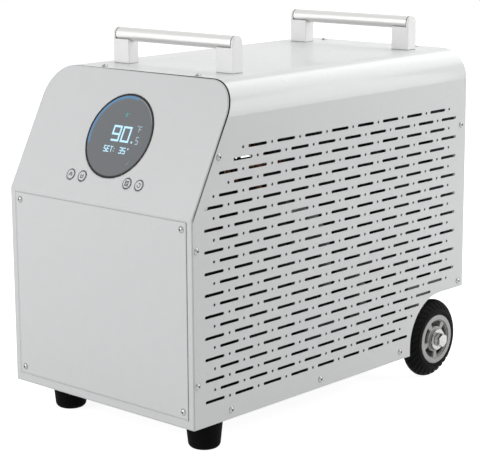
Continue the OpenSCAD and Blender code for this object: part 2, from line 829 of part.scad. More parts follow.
module rim() {
  half = tyre_w / 2;
  difference() {
    union() {
      translate([0, 0, rim_lip - half]) tube(rim_r + rim_step, slot_out + rim_wall, tyre_w - 2 * rim_lip);
      translate([0, 0, -half]) tube(rim_r, slot_out + rim_wall, tyre_w);
      translate([0, 0, half - web_recess - web_t]) cylinder(r = rim_r, h = web_t);
      translate([0, 0, -half]) cylinder(r = hub_r, h = tyre_w + hub_proud);
    }
    translate([0, 0, -half - cut]) cylinder(r = bearing_r + running, h = tyre_w + hub_proud + 2 * cut);
    for (i = [0 : 4]) rotate([0, 0, 72 * i + slot_turn]) translate([0, 0, half - web_recess - web_t - cut])
      rotate_extrude(angle = slot_sweep) translate([slot_in, 0])
        square([slot_out - slot_in, web_t + 2 * cut]);
  }
}

module bearings() {
  for (z = [-tyre_w / 2, tyre_w / 2 + hub_proud - bearing_l]) translate([0, 0, z])
    tube(bearing_r, axle_r + running, bearing_l);
}

module tyre_right() { color([0.12, 0.12, 0.12]) casing() on_right() tyre(); }
module rim_right() { color("lightgray") casing() on_right() rim(); }
module bearings_right() { color("dimgray") casing() on_right() bearings(); }
module tyre_left() { color([0.12, 0.12, 0.12]) casing() mirror([1, 0, 0]) on_right() tyre(); }
module rim_left() { color("lightgray") casing() mirror([1, 0, 0]) on_right() rim(); }
module bearings_left() { color("dimgray") casing() mirror([1, 0, 0]) on_right() bearings(); }

// Compressor: a welded can on a square plate that stands on four rubber grommets.
plate_z = tray_z + frame_t + 2 * seat + grommet_h;
compressor_feet = [for (a = [-1, 1], b = [-1, 1])
  [compressor_x + a * foot_pitch, compressor_y + b * foot_pitch]];
discharge = [compressor_x - gas_port_x, compressor_y];
suction = [compressor_x + gas_port_x, compressor_y - suction_shift];
can_top = plate_z + plate_t + compressor_h;

module compressor() {
  dome = compressor_r * 0.25;
  half = foot_pitch + plate_margin;
  seam = 2;
  color([0.1, 0.1, 0.11]) casing() {
    difference() {
      translate([compressor_x - half, compressor_y - half, plate_z]) cube([2 * half, 2 * half, plate_t]);
      for (p = compressor_feet) translate([p[0], p[1], plate_z - cut])
        cylinder(r = mount_bolt_r + fit, h = plate_t + 2 * cut);
    }
    translate([compressor_x, compressor_y, plate_z + plate_t / 2]) rotate_extrude() polygon(concat(
      [[0, 0], [compressor_r - dome, 0]],
      [for (a = [0 : 15 : 90]) [compressor_r - dome + dome * cos(a), compressor_h - dome + dome * sin(a)]],
      [[0, compressor_h]]));
    translate([compressor_x, compressor_y, plate_z + compressor_h * 0.45])
      cylinder(r = compressor_r + seam, h = plate_t);
    for (p = [discharge, suction]) translate([p[0], p[1], can_top - 2 * plate_t])
      cylinder(r = gas_boss_r, h = 3 * plate_t);
    translate([discharge[0], discharge[1], can_top]) cylinder(r = pipe_r - pipe_wall - running, h = stub_l);
    translate([suction[0], suction[1], can_top]) cylinder(r = suction_r - pipe_wall - running, h = stub_l);
  }
}

module compressor_grommets() {
  color([0.15, 0.15, 0.15]) casing() for (p = compressor_feet)
    translate([p[0], p[1], tray_z + frame_t + seat]) tube(plate_margin, mount_bolt_r + fit, grommet_h);
}

module compressor_bolts() {
  color("silver") casing() for (p = compressor_feet) translate([p[0], p[1], 0]) {
    nut_z = plate_z + plate_t + seat;
    under = tray_z - seat;
    translate([0, 0, under - mount_bolt_r]) hex_prism(nut_w, mount_bolt_r);
    translate([0, 0, under - cut]) cylinder(r = mount_bolt_r, h = nut_z + nut_h + bolt_over + cut - under);
    translate([0, 0, nut_z]) difference() {
      hex_prism(nut_w, nut_h);
      translate([0, 0, -cut]) cylinder(r = mount_bolt_r + running, h = nut_h + 2 * cut);
    }
  }
}

// Heat exchanger: an upright insulated can with two water ports and two gas ports.
exchanger_top = tray_z + frame_t + seat + exchanger_h;
gas_ports = [for (s = [-1, 1]) [exchanger_x + s * gas_port_x, exchanger_y]];
top_port_z = exchanger_top - top_port_drop;
barb_r = hose_bore - hose_fit;

module heat_exchanger() {
  chamfer = 8;
  reach = exchanger_r + boss_l;
  color([0.13, 0.13, 0.14]) casing() difference() {
    union() {
      translate([exchanger_x, exchanger_y, exchanger_top - exchanger_h]) rotate_extrude() polygon([
        [0, 0], [exchanger_r - chamfer, 0], [exchanger_r, chamfer], [exchanger_r, exchanger_h - chamfer],
        [exchanger_r - chamfer, exchanger_h], [0, exchanger_h]
      ]);
      translate([gas_ports[0][0], gas_ports[0][1], exchanger_top - plate_t]) {
        cylinder(r = gas_boss_r, h = 2 * plate_t);
        cylinder(r = pipe_r - pipe_wall - running, h = 2 * plate_t + stub_l);
      }
      translate([gas_ports[1][0], gas_ports[1][1], exchanger_top - plate_t]) {
        cylinder(r = gas_boss_r, h = 2 * plate_t);
        cylinder(r = suction_r - pipe_wall - running, h = 2 * plate_t + stub_l);
      }
      translate([exchanger_x, exchanger_y, top_port_z]) rod_y(port_r, reach);
      translate([exchanger_x, exchanger_y, top_port_z]) rod_y(barb_r, reach + barb_l);
      translate([exchanger_x, exchanger_y, low_port_z]) mirror([1, 0, 0]) rod_x(port_r, reach);
      translate([exchanger_x, exchanger_y, low_port_z]) mirror([1, 0, 0]) rod_x(barb_r, reach + short_barb_l);
    }
    translate([exchanger_x, exchanger_y + exchanger_r - chamfer, top_port_z])
      rod_y(port_bore, chamfer + boss_l + barb_l + cut);
    translate([exchanger_x - exchanger_r + chamfer, exchanger_y, low_port_z]) mirror([1, 0, 0])
      rod_x(port_bore, chamfer + boss_l + short_barb_l + cut);
  }
}

// Pump: a volute on a foot, its motor in front of it, the impeller on the motor's shaft.
volute_back = volute_y - volute_t / 2;
module pump_housing() {
  wall = 4;
  web = 20;
  foot_z = tray_z + frame_t + seat;
  color([0.2, 0.2, 0.22]) casing() difference() {
    union() {
      translate([volute_x, volute_back, volute_z]) rod_y(volute_r, volute_t);
      translate([volute_x, volute_back, volute_z]) rod_y(port_r, volute_t + boss_l);
      translate([volute_x, volute_back, volute_z]) rod_y(barb_r, volute_t + boss_l + short_barb_l);
      translate([outlet_x, volute_y, volute_z]) cylinder(r = port_r, h = volute_r + boss_l);
      translate([outlet_x, volute_y, volute_z]) cylinder(r = barb_r, h = volute_r + boss_l + barb_l);
      translate([volute_x - 1.5 * web, volute_back, foot_z]) cube([3 * web, volute_t, wall]);
      translate([volute_x - web, volute_back + wall, foot_z])
        cube([2 * web, volute_t - 2 * wall, volute_z - foot_z]);
    }
    translate([volute_x, volute_back + wall, volute_z]) rod_y(impeller_r + blade_gap, volute_t - 2 * wall);
    translate([volute_x, volute_back - cut, volute_z]) rod_y(shaft_r + running, volute_t / 2);
    translate([volute_x, volute_y, volute_z]) rod_y(port_bore, volute_t);
    translate([volute_x, volute_y, volute_z]) rod_y(port_bore, volute_t / 2 + boss_l + short_barb_l + cut);
    translate([outlet_x, volute_y, volute_z]) cylinder(r = port_bore, h = volute_r + boss_l + barb_l + cut);
  }
}

module pump_motor() {
  cap = 6;
  color([0.25, 0.27, 0.3]) casing() translate([volute_x, volute_back - seat, volute_z]) mirror([0, 1, 0])
    difference() {
      union() {
        rod_y(pump_motor_r, cap);
        translate([0, cap / 2, 0]) rod_y(pump_motor_r - cap / 2, pump_motor_l - cap);
        translate([0, pump_motor_l - cap, 0]) rod_y(pump_motor_r, cap);
      }
      translate([0, -cut, 0]) rod_y(shaft_r + running, shaft_l);
    }
}

module pump_impeller() {
  disc_y = volute_back + disc_gap;
  disc_t = 3;
  hub = 9;
  vane_h = 12;
  vane_t = 2;
  color("white") casing() {
    translate([volute_x, disc_y, volute_z]) rod_y(impeller_r, disc_t);
    translate([volute_x, disc_y, volute_z]) rod_y(hub, vane_h);
    for (a = [0 : 60 : 300]) translate([volute_x, disc_y, volute_z]) rotate([0, a, 0])
      translate([hub - vane_t, 0, -vane_t / 2]) cube([impeller_r - hub, vane_h, vane_t]);
    translate([volute_x, volute_back - shaft_reach, volute_z]) rod_y(shaft_r, shaft_reach + hub);
  }
}

// Condenser: a finned block that stands on two side plates with feet on the shelf.
coil_stub = [[coil_x, core_high - coil_inset], [coil_x, core_low + coil_inset]];
module condenser_core() {
  fins = 36;
  pitch = core_w / fins;
  groove = 4;
  color("lightsteelblue") casing() {
    difference() {
      translate([-core_w / 2, core_y, core_low]) cube([core_w, core_t, core_high - core_low]);
      for (i = [0 : fins - 1], y = [core_y - cut, core_y + core_t - groove])
        translate([(i + 0.25) * pitch - core_w / 2, y, core_low + 2 * groove])
          cube([pitch / 2, groove + cut, core_high - core_low - 4 * groove]);
    }
    for (p = coil_stub) translate([p[0], core_y + 2 * groove, p[1]]) mirror([0, 1, 0]) {
      rod_y(drier_neck, 2 * groove + coil_boss);
      rod_y(pipe_r - pipe_wall - running, 2 * groove + coil_boss + stub_l);
    }
  }
}

module condenser_stand() {
  x = core_w / 2 + seat;
  z = shelf_z + seat;
  foot = 22;
  color("silver") casing() {
    both_sides() {
      translate([x, core_y, z]) cube([frame_t, core_t, core_high - z]);
      translate([x, core_y, z]) cube([foot, core_t, frame_t]);
    }
    translate([-x - frame_t / 2, core_y, core_low - seat - frame_t]) cube([2 * x + frame_t, core_t, frame_t]);
  }
}

// Shroud: a box behind the condenser, a collar round the fan and four arms to the motor.
module fan_shroud() {
  wall = 1.5;
  cup = 14;
  arm_t = 3;
  arm_w = 10;
  back = shroud_y + shroud_t;
  color([0.16, 0.16, 0.17]) casing() difference() {
    union() {
      difference() {
        translate([-core_w / 2, shroud_y, core_low]) cube([core_w, shroud_t, core_high - core_low]);
        translate([wall - core_w / 2, shroud_y - cut, core_low + wall])
          cube([core_w - 2 * wall, shroud_t - wall + cut, core_high - core_low - 2 * wall]);
        translate([0, back - 2 * wall, fan_z]) rod_y(collar_r, 3 * wall);
      }
      translate([0, back - wall, fan_z]) rotate([-90, 0, 0])
        tube(collar_r + wall, collar_r, rear_y - frame_t - seat - back + wall);
      translate([0, back - cup, fan_z]) rotate([-90, 0, 0]) tube(motor_r + seat + arm_t, motor_r + seat, cup);
      for (a = [0 : 90 : 270]) translate([0, back - arm_t, fan_z]) rotate([0, a, 0])
        translate([motor_r + arm_t / 2, 0, -arm_w / 2])
          cube([collar_r - motor_r - arm_t / 2 + wall / 2, arm_t, arm_w]);
    }
  }
}

motor_y = fan_y - fan_t / 2 - motor_gap - motor_l;
module fan_motor() {
  color([0.3, 0.31, 0.33]) casing() translate([0, motor_y, fan_z]) difference() {
    rod_y(motor_r, motor_l);
    translate([0, motor_l - shaft_l, 0]) rod_y(shaft_r + running, shaft_l + cut);
  }
}

module fan_rotor() {
  chord = 40;
  blade_t = 2;
  pitch = 24;
  color([0.12, 0.12, 0.13]) casing() translate([0, fan_y - fan_t / 2, fan_z]) rotate([-90, 0, 0]) {
    cylinder(r = fan_hub_r, h = fan_t);
    translate([0, 0, -shaft_reach]) cylinder(r = shaft_r, h = shaft_reach + fan_t / 2);
    for (i = [0 : blade_count - 1]) rotate([0, 0, i * 360 / blade_count]) intersection() {
      tube(fan_r, fan_hub_r - blade_t, fan_t);
      translate([fan_hub_r - 2 * blade_t, 0, fan_t / 2]) rotate([pitch, 0, 0])
        translate([0, -chord / 2, -blade_t / 2]) cube([fan_r, chord, blade_t]);
    }
  }
}

module fan_guard() {
  wire = guard_t / 2;
  spoke = wire * 1.3;
  color([0.1, 0.1, 0.1]) casing() translate([0, rear_y + seat, fan_z]) rotate([-90, 0, 0]) {
    for (i = [0 : 6]) translate([0, 0, wire]) rotate_extrude()
      translate([fan_r + guard_over - i * guard_step, 0]) circle(wire, $fn = 16);
    for (a = [45 : 90 : 315]) rotate([0, 0, a]) {
      translate([guard_in, 0, guard_t]) rod_x(spoke, guard_ear_r - guard_in - ear_gap, $fn = 16);
      translate([guard_ear_r, 0, 0]) tube(ear_r, screw_hole, guard_t);
    }
  }
}

// Filter drier: a tapered can in the liquid line.
drier_y = core_y - drier_gap;
module filter_drier() {
  color("peru") casing() translate([coil_stub[1][0], drier_y, coil_stub[1][1]]) rotate([90, 0, 0]) {
    rotate_extrude() polygon([
      [0, 0], [drier_neck, 0], [drier_r, drier_taper], [drier_r, drier_l - drier_taper],
      [drier_neck, drier_l], [0, drier_l]
    ]);
    translate([0, 0, -stub_l]) cylinder(r = pipe_r - pipe_wall - running, h = drier_l + 2 * stub_l);
  }
}

// A round bar along a run of points, with an elbow at each inner point.
function unit(v) = v / norm(v);
function upright(d) = unit(cross(d, abs(d[2]) < 0.9 ? [0, 0, 1] : [1, 0, 0]));
function turn(a, b) = acos(a * b);
module aim(at, x, y, z) {
  multmatrix([[x[0], y[0], z[0], at[0]], [x[1], y[1], z[1], at[1]], [x[2], y[2], z[2], at[2]], [0, 0, 0, 1]])
    children();
}
module run(points, r, bend, over) {
  last = len(points) - 1;
  dirs = [for (i = [0 : last - 1]) unit(points[i + 1] - points[i])];
  trims = [for (i = [0 : last])
    i == 0 || i == last ? -over : bend * tan(turn(dirs[i - 1], dirs[i]) / 2)];
  for (i = [0 : last - 1]) {
    d = dirs[i];
    x = upright(d);
    aim(points[i] + d * trims[i], x, cross(d, x), d)
      cylinder(r = r, h = norm(points[i + 1] - points[i]) - trims[i] - trims[i + 1]);
  }
  for (i = [1 : last - 1]) {
    a = dirs[i - 1];
    b = dirs[i];
    n = unit(b - a * (a * b));
    aim(points[i] - a * trims[i] + n * bend, -n, a, cross(-n, a))
      rotate_extrude(angle = turn(a, b)) translate([bend, 0]) circle(r);
  }
}
module pipe(points, r, bore, bend) {
  difference() {
    run(points, r, bend, 0);
    run(points, bore, bend, cut);
  }
}

// Gas pipes: can to condenser, condenser to drier, drier to heat exchanger, and back to the can.
module gas_pipes() {
  bend = 14;
  bore = pipe_r - pipe_wall;
  boss_z = can_top + plate_t + seat;
  ports_z = exchanger_top + plate_t + seat;
  high = can_top + 5 * bend;
  coil_y = core_y - coil_boss - seat;
  lane_y = drier_y - drier_l - 2 * bend;
  lane_x = coil_x + 4 * bend;
  low = ports_z + 2 * bend;
  top = ports_z + 4 * bend;
  color("peru") casing() {
    pipe([
      [discharge[0], discharge[1], boss_z], [discharge[0], discharge[1], high],
      [discharge[0], drier_y, high], [discharge[0], drier_y, coil_stub[0][1]],
      [discharge[0], coil_y, coil_stub[0][1]]
    ], pipe_r, bore, bend);
    pipe([[coil_x, coil_y, coil_stub[1][1]], [coil_x, drier_y + seat, coil_stub[1][1]]], pipe_r, bore, bend);
    pipe([
      [coil_x, drier_y - drier_l - seat, coil_stub[1][1]], [coil_x, lane_y, coil_stub[1][1]],
      [lane_x, lane_y, coil_stub[1][1]], [lane_x, lane_y, low], [gas_ports[0][0], lane_y, low],
      [gas_ports[0][0], gas_ports[0][1], low], [gas_ports[0][0], gas_ports[0][1], ports_z]
    ], pipe_r, bore, bend);
    pipe([
      [gas_ports[1][0], gas_ports[1][1], ports_z], [gas_ports[1][0], gas_ports[1][1], top],
      [suction[0], gas_ports[1][1], top], [suction[0], suction[1], boss_z]
    ], suction_r, suction_r - pipe_wall, bend);
  }
}

// Water hoses: inlet to pump, pump to heat exchanger, heat exchanger to outlet.
module water_hoses() {
  bend = 24;
  hose_y = fitting_end - seat;
  lane_x = -1;
  lane_y = riser_y - lane_gap;
  lane_out = lane_y - 2 * pipe_r;
  wide_bend = 96;
  low_bend = 20;
  color([0.75, 0.77, 0.78]) casing() {
    pipe([
      [fitting_x, hose_y, fitting_z], [fitting_x, lane_y, fitting_z], [volute_x, lane_y, fitting_z],
      [volute_x, lane_y, volute_z], [volute_x, volute_back + volute_t + boss_l + seat, volute_z]
    ], hose_r, hose_bore, bend);
    pipe([
      [outlet_x, volute_y, volute_z + volute_r + boss_l + seat], [outlet_x, volute_y, top_port_z],
      [outlet_x, exchanger_y + exchanger_r + boss_l + seat, top_port_z]
    ], hose_r, hose_bore, wide_bend);
    pipe([
      [exchanger_x - exchanger_r - boss_l - seat, exchanger_y, low_port_z], [lane_x, exchanger_y, low_port_z],
      [lane_x, lane_out, low_port_z], [lane_x, lane_out, fitting_z], [-fitting_x, lane_out, fitting_z],
      [-fitting_x, hose_y, fitting_z]
    ], hose_r, hose_bore, low_bend);
  }
}

// Water fitting: a barb inside, a body through the rear panel, a flange and a spigot with two ring grooves.
fitting_end = rear_y - fitting_in;
module fitting(s) {
  out = rear_y + seat;
  end = body_d + spigot_l;
  flange = 3;
  groove_l = 4;
  groove_depth = 1.6;
  floor_t = 4;
  color([0.13, 0.13, 0.14]) casing()
  translate([s * fitting_x, 0, fitting_z]) rotate([-90, 0, 0]) difference() {
    union() {
      translate([0, 0, fitting_end]) cylinder(r = spigot_r, h = end - fitting_end);
      translate([0, 0, out]) cylinder(r = spigot_r + 2 * flange, h = flange);
      translate([0, 0, fitting_end - barb_l]) cylinder(r = barb_r, h = barb_l + floor_t / 2);
    }
    for (i = [1, 3]) translate([0, 0, out + flange + (i - 0.25) * groove_l])
      tube(spigot_r + cut, spigot_r - groove_depth, groove_l);
    translate([0, 0, fitting_end + floor_t]) cylinder(r = spigot_bore_r, h = body_d);
    translate([0, 0, fitting_end - barb_l - cut]) cylinder(r = port_bore, h = body_d);
  }
}
module water_inlet() { fitting(1); }
module water_outlet() { fitting(-1); }

module fitting_nuts() {
  color([0.18, 0.18, 0.19]) casing() for (s = [-1, 1])
    translate([s * fitting_x, rear_y - frame_t - seat, fitting_z]) rotate([90, 0, 0]) difference() {
      hex_prism(2 * (spigot_r + flange_t + 2 * seat), fitting_nut);
      translate([0, 0, -cut]) cylinder(r = spigot_r + running, h = fitting_nut + 2 * cut);
    }
}

// Power inlet: a flanged socket with three pins and a fuse drawer.
module power_inlet() {
  depth = 26;
  out = rear_y + seat;
  recess = [24, 16, 17];
  floor_z = recess[0] / 6 - inlet_h / 2;
  pin = [2, 9, 4];
  pin_x = 7;
  pin_z = 6;
  drawer = 0.8;
  color([0.08, 0.08, 0.08]) casing() translate([inlet_x, 0, inlet_z]) difference() {
    union() {
      translate([-inlet_w / 2, out - depth, -inlet_h / 2]) cube([inlet_w, depth, inlet_h]);
      translate([-inlet_w / 2 - plug_lip, out, -inlet_h / 2 - plug_lip])
        cube([inlet_w + 2 * plug_lip, plug_lip, inlet_h + 2 * plug_lip]);
    }
    difference() {
      translate([-recess[0] / 2, out - recess[1], floor_z]) cube(recess + [0, 2 * plug_lip, 0]);
      for (s = [-1, 0, 1]) translate([s * pin_x, out - recess[1], floor_z + pin_z - pin[2] * abs(s)])
        translate([-pin[0] / 2, -cut, pin[2] / 2]) cube(pin);
    }
    translate([-recess[0] / 2, out + plug_lip - drawer, plug_lip]) cube([recess[0], plug_lip, recess[2]]);
  }
}

// Rocker switch: a frame snapped into the rear panel and a rocker on two pins.
pivot_y = rear_y - pivot_out;
module rocker_frame() {
  depth = 20;
  out = rear_y + seat;
  w = switch_w - 2 * switch_wall;
  color([0.08, 0.08, 0.08]) casing() translate([inlet_x, 0, rocker_z]) difference() {
    union() {
      translate([-switch_w / 2, out - depth, -switch_h / 2]) cube([switch_w, depth, switch_h]);
      translate([-switch_w / 2 - plug_lip, out, -switch_h / 2 - plug_lip])
        cube([switch_w + 2 * plug_lip, plug_lip, switch_h + 2 * plug_lip]);
    }
    translate([-w / 2, pivot_y - pivot_out - cut, -rocker_r]) cube([w, rocker_r + pivot_out, 2 * rocker_r]);
    translate([-w / 2 - 1.5 * pin_l, pivot_y, 0]) rod_x(pivot_r + running, w + 3 * pin_l);
  }
}

// Rocker section, as [outward, up] in shares of its sweep.
rocker_shares = [
  [0.69, 0.71], [0.49, 0], [0.69, -0.71], [0.33, -0.82], [-0.29, -0.56], [-0.29, 0.56], [0.33, 0.82]
];
module rocker() {
  w = switch_w - 2 * switch_wall - 2 * fit;
  color("red") casing() translate([inlet_x, pivot_y, rocker_z]) {
    along_x(w) polygon([for (p = rocker_shares) p * rocker_r]);
    translate([-w / 2 - pin_l, 0, 0]) rod_x(pivot_r, w + 2 * pin_l);
  }
}

// Control box: an open-backed shell on an upright sheet that stands on the tray.
module control_box() {
  wall = 2;
  color([0.22, 0.23, 0.25]) casing() difference() {
    translate([box_x, box_y, box_z]) cube([box_w, box_d, box_h]);
    translate([box_x + wall, box_y + wall, box_z + wall])
      cube([box_w - 2 * wall, box_d, box_h - 2 * wall]);
  }
}

module electrics_bracket() {
  foot = 26;
  z = tray_z + frame_t + seat;
  color("silver") casing() {
    translate([box_x, wall_y, z]) cube([box_w, frame_t, box_z + box_h - z]);
    translate([box_x, wall_y, z]) cube([box_w, foot, frame_t]);
  }
}

cover();
front_frame();
front_panel();
rear_panel();
base_tray();
side_screws();
top_screws();
front_panel_screws();
rear_screws();
front_handle_tube();
front_handle_posts();
rear_handle_tube();
rear_handle_posts();
handle_screws();
display_bezel();
display_lens();
display_module();
key_board();
board_standoffs();
button_up();
button_down();
button_mode();
button_power();
front_feet();
foot_bolts();
axle_brackets();
bracket_bolts();
axle();
axle_washers();
axle_nuts();
tyre_left();
rim_left();
bearings_left();
tyre_right();
rim_right();
bearings_right();
compressor();
compressor_grommets();
compressor_bolts();
heat_exchanger();
pump_housing();
pump_motor();
pump_impeller();
condenser_core();
condenser_stand();
fan_shroud();
fan_motor();
fan_rotor();
fan_guard();
filter_drier();
gas_pipes();
water_hoses();
water_inlet();
water_outlet();
fitting_nuts();
power_inlet();
rocker_frame();
rocker();
control_box();
electrics_bracket();
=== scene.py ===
import bmesh
import bpy
import numpy as np
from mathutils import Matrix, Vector


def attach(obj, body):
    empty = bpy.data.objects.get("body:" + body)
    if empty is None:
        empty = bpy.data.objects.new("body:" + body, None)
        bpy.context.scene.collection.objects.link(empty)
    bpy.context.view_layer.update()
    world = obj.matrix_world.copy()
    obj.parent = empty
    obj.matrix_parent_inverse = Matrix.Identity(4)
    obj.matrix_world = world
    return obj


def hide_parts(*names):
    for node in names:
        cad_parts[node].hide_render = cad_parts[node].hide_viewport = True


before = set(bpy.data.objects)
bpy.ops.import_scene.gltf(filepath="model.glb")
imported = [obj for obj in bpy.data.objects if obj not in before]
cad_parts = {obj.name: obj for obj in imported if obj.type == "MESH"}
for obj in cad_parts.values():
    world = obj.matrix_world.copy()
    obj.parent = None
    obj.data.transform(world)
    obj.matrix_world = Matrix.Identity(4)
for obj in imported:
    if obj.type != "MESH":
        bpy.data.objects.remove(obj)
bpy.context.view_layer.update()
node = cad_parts


# White sheet casing
#
# Cover, front frame, front panel and rear panel are folded steel sheet, sprayed with white
# powder and baked. The film is satin, slightly dimpled, and a touch greyer where hands and
# the floor reach it. Painted shade darkens its joints and recesses.

def putter(tree):
    """Gives put(kind, inputs, **settings): adds a shader node, sets it up, and links or sets its inputs."""
    def put(kind, inputs=None, **settings):
        made = tree.nodes.new(kind)
        for key, value in settings.items():
            setattr(made, key, value)
        for key, value in (inputs or {}).items():
            if isinstance(value, bpy.types.NodeSocket):
                tree.links.new(value, made.inputs[key])
            else:
                made.inputs[key].default_value = value
        return made
    return put


def effect(name, inputs, outputs):
    """An empty node group: inputs and outputs map a socket's name to its kind and, for inputs, its value."""
    tree = bpy.data.node_groups.new(name, "ShaderNodeTree")
    for label, (kind, value) in inputs.items():
        tree.interface.new_socket(label, in_out="INPUT", socket_type=kind).default_value = value
    for label, kind in outputs.items():
        tree.interface.new_socket(label, in_out="OUTPUT", socket_type=kind)
    put = putter(tree)
    return tree, put, put("NodeGroupInput").outputs, put("NodeGroupOutput").inputs


FLOAT, RGB, VEC = "NodeSocketFloat", "NodeSocketColor", "NodeSocketVector"


def math(put, operation, a, b=0.0, clamp=False):
    return put("ShaderNodeMath", {0: a, 1: b}, operation=operation, use_clamp=clamp).outputs[0]


def blend_colour(put, share, a, b):
    return put("ShaderNodeMix", {0: share, 6: a, 7: b}, data_type="RGBA").outputs[2]


def make_grain():
    """Two colours mixed by soft noise, with the noise as roughness share and as height.

    The noise is read from Object coordinates that are stretched by Stretch, so that a
    brushed or drawn finish runs along one axis.
    """
    tree, put, given, out = effect(
        "grain",
        {"Colour": (RGB, (0.8, 0.8, 0.8, 1)), "Second": (RGB, (0.7, 0.7, 0.7, 1)), "Scale": (FLOAT, 300.0),
         "Stretch": (VEC, (1.0, 1.0, 1.0)), "Rough": (FLOAT, 0.4), "Spread": (FLOAT, 0.1)},
        {"Color": RGB, "Roughness": FLOAT, "Height": FLOAT})
    where = put("ShaderNodeTexCoord").outputs["Object"]
    drawn = put("ShaderNodeVectorMath", {0: where, 1: given["Stretch"]}, operation="MULTIPLY").outputs[0]
    fine = put("ShaderNodeTexNoise", {"Vector": drawn, "Scale": given["Scale"], "Detail": 3.0}).outputs["Fac"]
    broad_scale = math(put, "MULTIPLY", given["Scale"], 0.06)
    broad = put("ShaderNodeTexNoise", {"Vector": drawn, "Scale": broad_scale, "Detail": 2.0}).outputs["Fac"]
    both = math(put, "MULTIPLY", fine, broad)
    share = put("ShaderNodeMapRange", {"Value": both, "From Min": 0.12, "From Max": 0.42}).outputs["Result"]
    tree.links.new(blend_colour(put, share, given["Colour"], given["Second"]), out["Color"])
    offset = math(put, "MULTIPLY", math(put, "SUBTRACT", share, 0.5), given["Spread"])
    tree.links.new(math(put, "ADD", given["Rough"], offset, True), out["Roughness"])
    tree.links.new(fine, out["Height"])
    return tree


def make_edges():
    """A mask that is 1 on sharp edges: how far the rounded normal leaves the true one, broken up by noise."""
    tree, put, given, out = effect(
        "edge_wear", {"Radius": (FLOAT, 0.001), "Amount": (FLOAT, 1.0)}, {"Mask": FLOAT, "Normal": VEC})
    rounded = put("ShaderNodeBevel", {"Radius": given["Radius"]}, samples=4).outputs[0]
    true = put("ShaderNodeNewGeometry").outputs["Normal"]
    turn = put("ShaderNodeVectorMath", {0: rounded, 1: true}, operation="DOT_PRODUCT").outputs["Value"]
    edge = put("ShaderNodeMapRange", {"Value": turn, "From Min": 0.99, "From Max": 0.8}).outputs["Result"]
    where = put("ShaderNodeTexCoord").outputs["Object"]
    chips = put("ShaderNodeTexNoise", {"Vector": where, "Scale": 90.0, "Detail": 4.0}).outputs["Fac"]
    broken = put("ShaderNodeMapRange", {"Value": chips, "From Min": 0.4, "From Max": 0.65}).outputs["Result"]
    worn = math(put, "MULTIPLY", math(put, "MULTIPLY", edge, broken), given["Amount"], True)
    tree.links.new(worn, out["Mask"])
    tree.links.new(rounded, out["Normal"])
    return tree


def make_dust():
    """A mask for dust and scuffs: more on upward faces and near the floor, in patches of noise."""
    tree, put, given, out = effect(
        "dust", {"Amount": (FLOAT, 0.3), "Floor reach": (FLOAT, 0.12)}, {"Mask": FLOAT})
    up = put("ShaderNodeSeparateXYZ", {0: put("ShaderNodeNewGeometry").outputs["Normal"]}).outputs["Z"]
    where = put("ShaderNodeTexCoord").outputs["Object"]
    height = put("ShaderNodeSeparateXYZ", {0: where}).outputs["Z"]
    floor_reach = given["Floor reach"]
    low = put("ShaderNodeMapRange", {"Value": height, "From Min": floor_reach, "From Max": 0.0}).outputs[0]
    top = put("ShaderNodeMapRange", {"Value": up, "From Min": 0.5, "From Max": 1.0, "To Max": 0.4}).outputs[0]
    patches = put("ShaderNodeTexNoise", {"Vector": where, "Scale": 22.0, "Detail": 5.0}).outputs["Fac"]
    soft = put("ShaderNodeMapRange", {"Value": patches, "From Min": 0.35, "From Max": 0.75}).outputs["Result"]
    share = math(put, "MULTIPLY", math(put, "ADD", low, top, True), soft)
    tree.links.new(math(put, "MULTIPLY", share, given["Amount"], True), out["Mask"])
    return tree


def make_recess_shade():
    """A mask that is 1 deep in a joint or recess, where shade is painted: how much of the near surroundings
    is closed off.
    """
    tree, put, given, out = effect(
        "recess_shade", {"Reach": (FLOAT, 0.0015), "Amount": (FLOAT, 1.0)}, {"Mask": FLOAT})
    clear = put("ShaderNodeAmbientOcclusion", {"Distance": given["Reach"]}, samples=6).outputs["AO"]
    closed = put("ShaderNodeMapRange", {"Value": clear, "From Min": 0.85, "From Max": 0.35}).outputs["Result"]
    tree.links.new(math(put, "MULTIPLY", closed, given["Amount"], True), out["Mask"])
    return tree


grain, edges, dust, recess_shade = make_grain(), make_edges(), make_dust(), make_recess_shade()


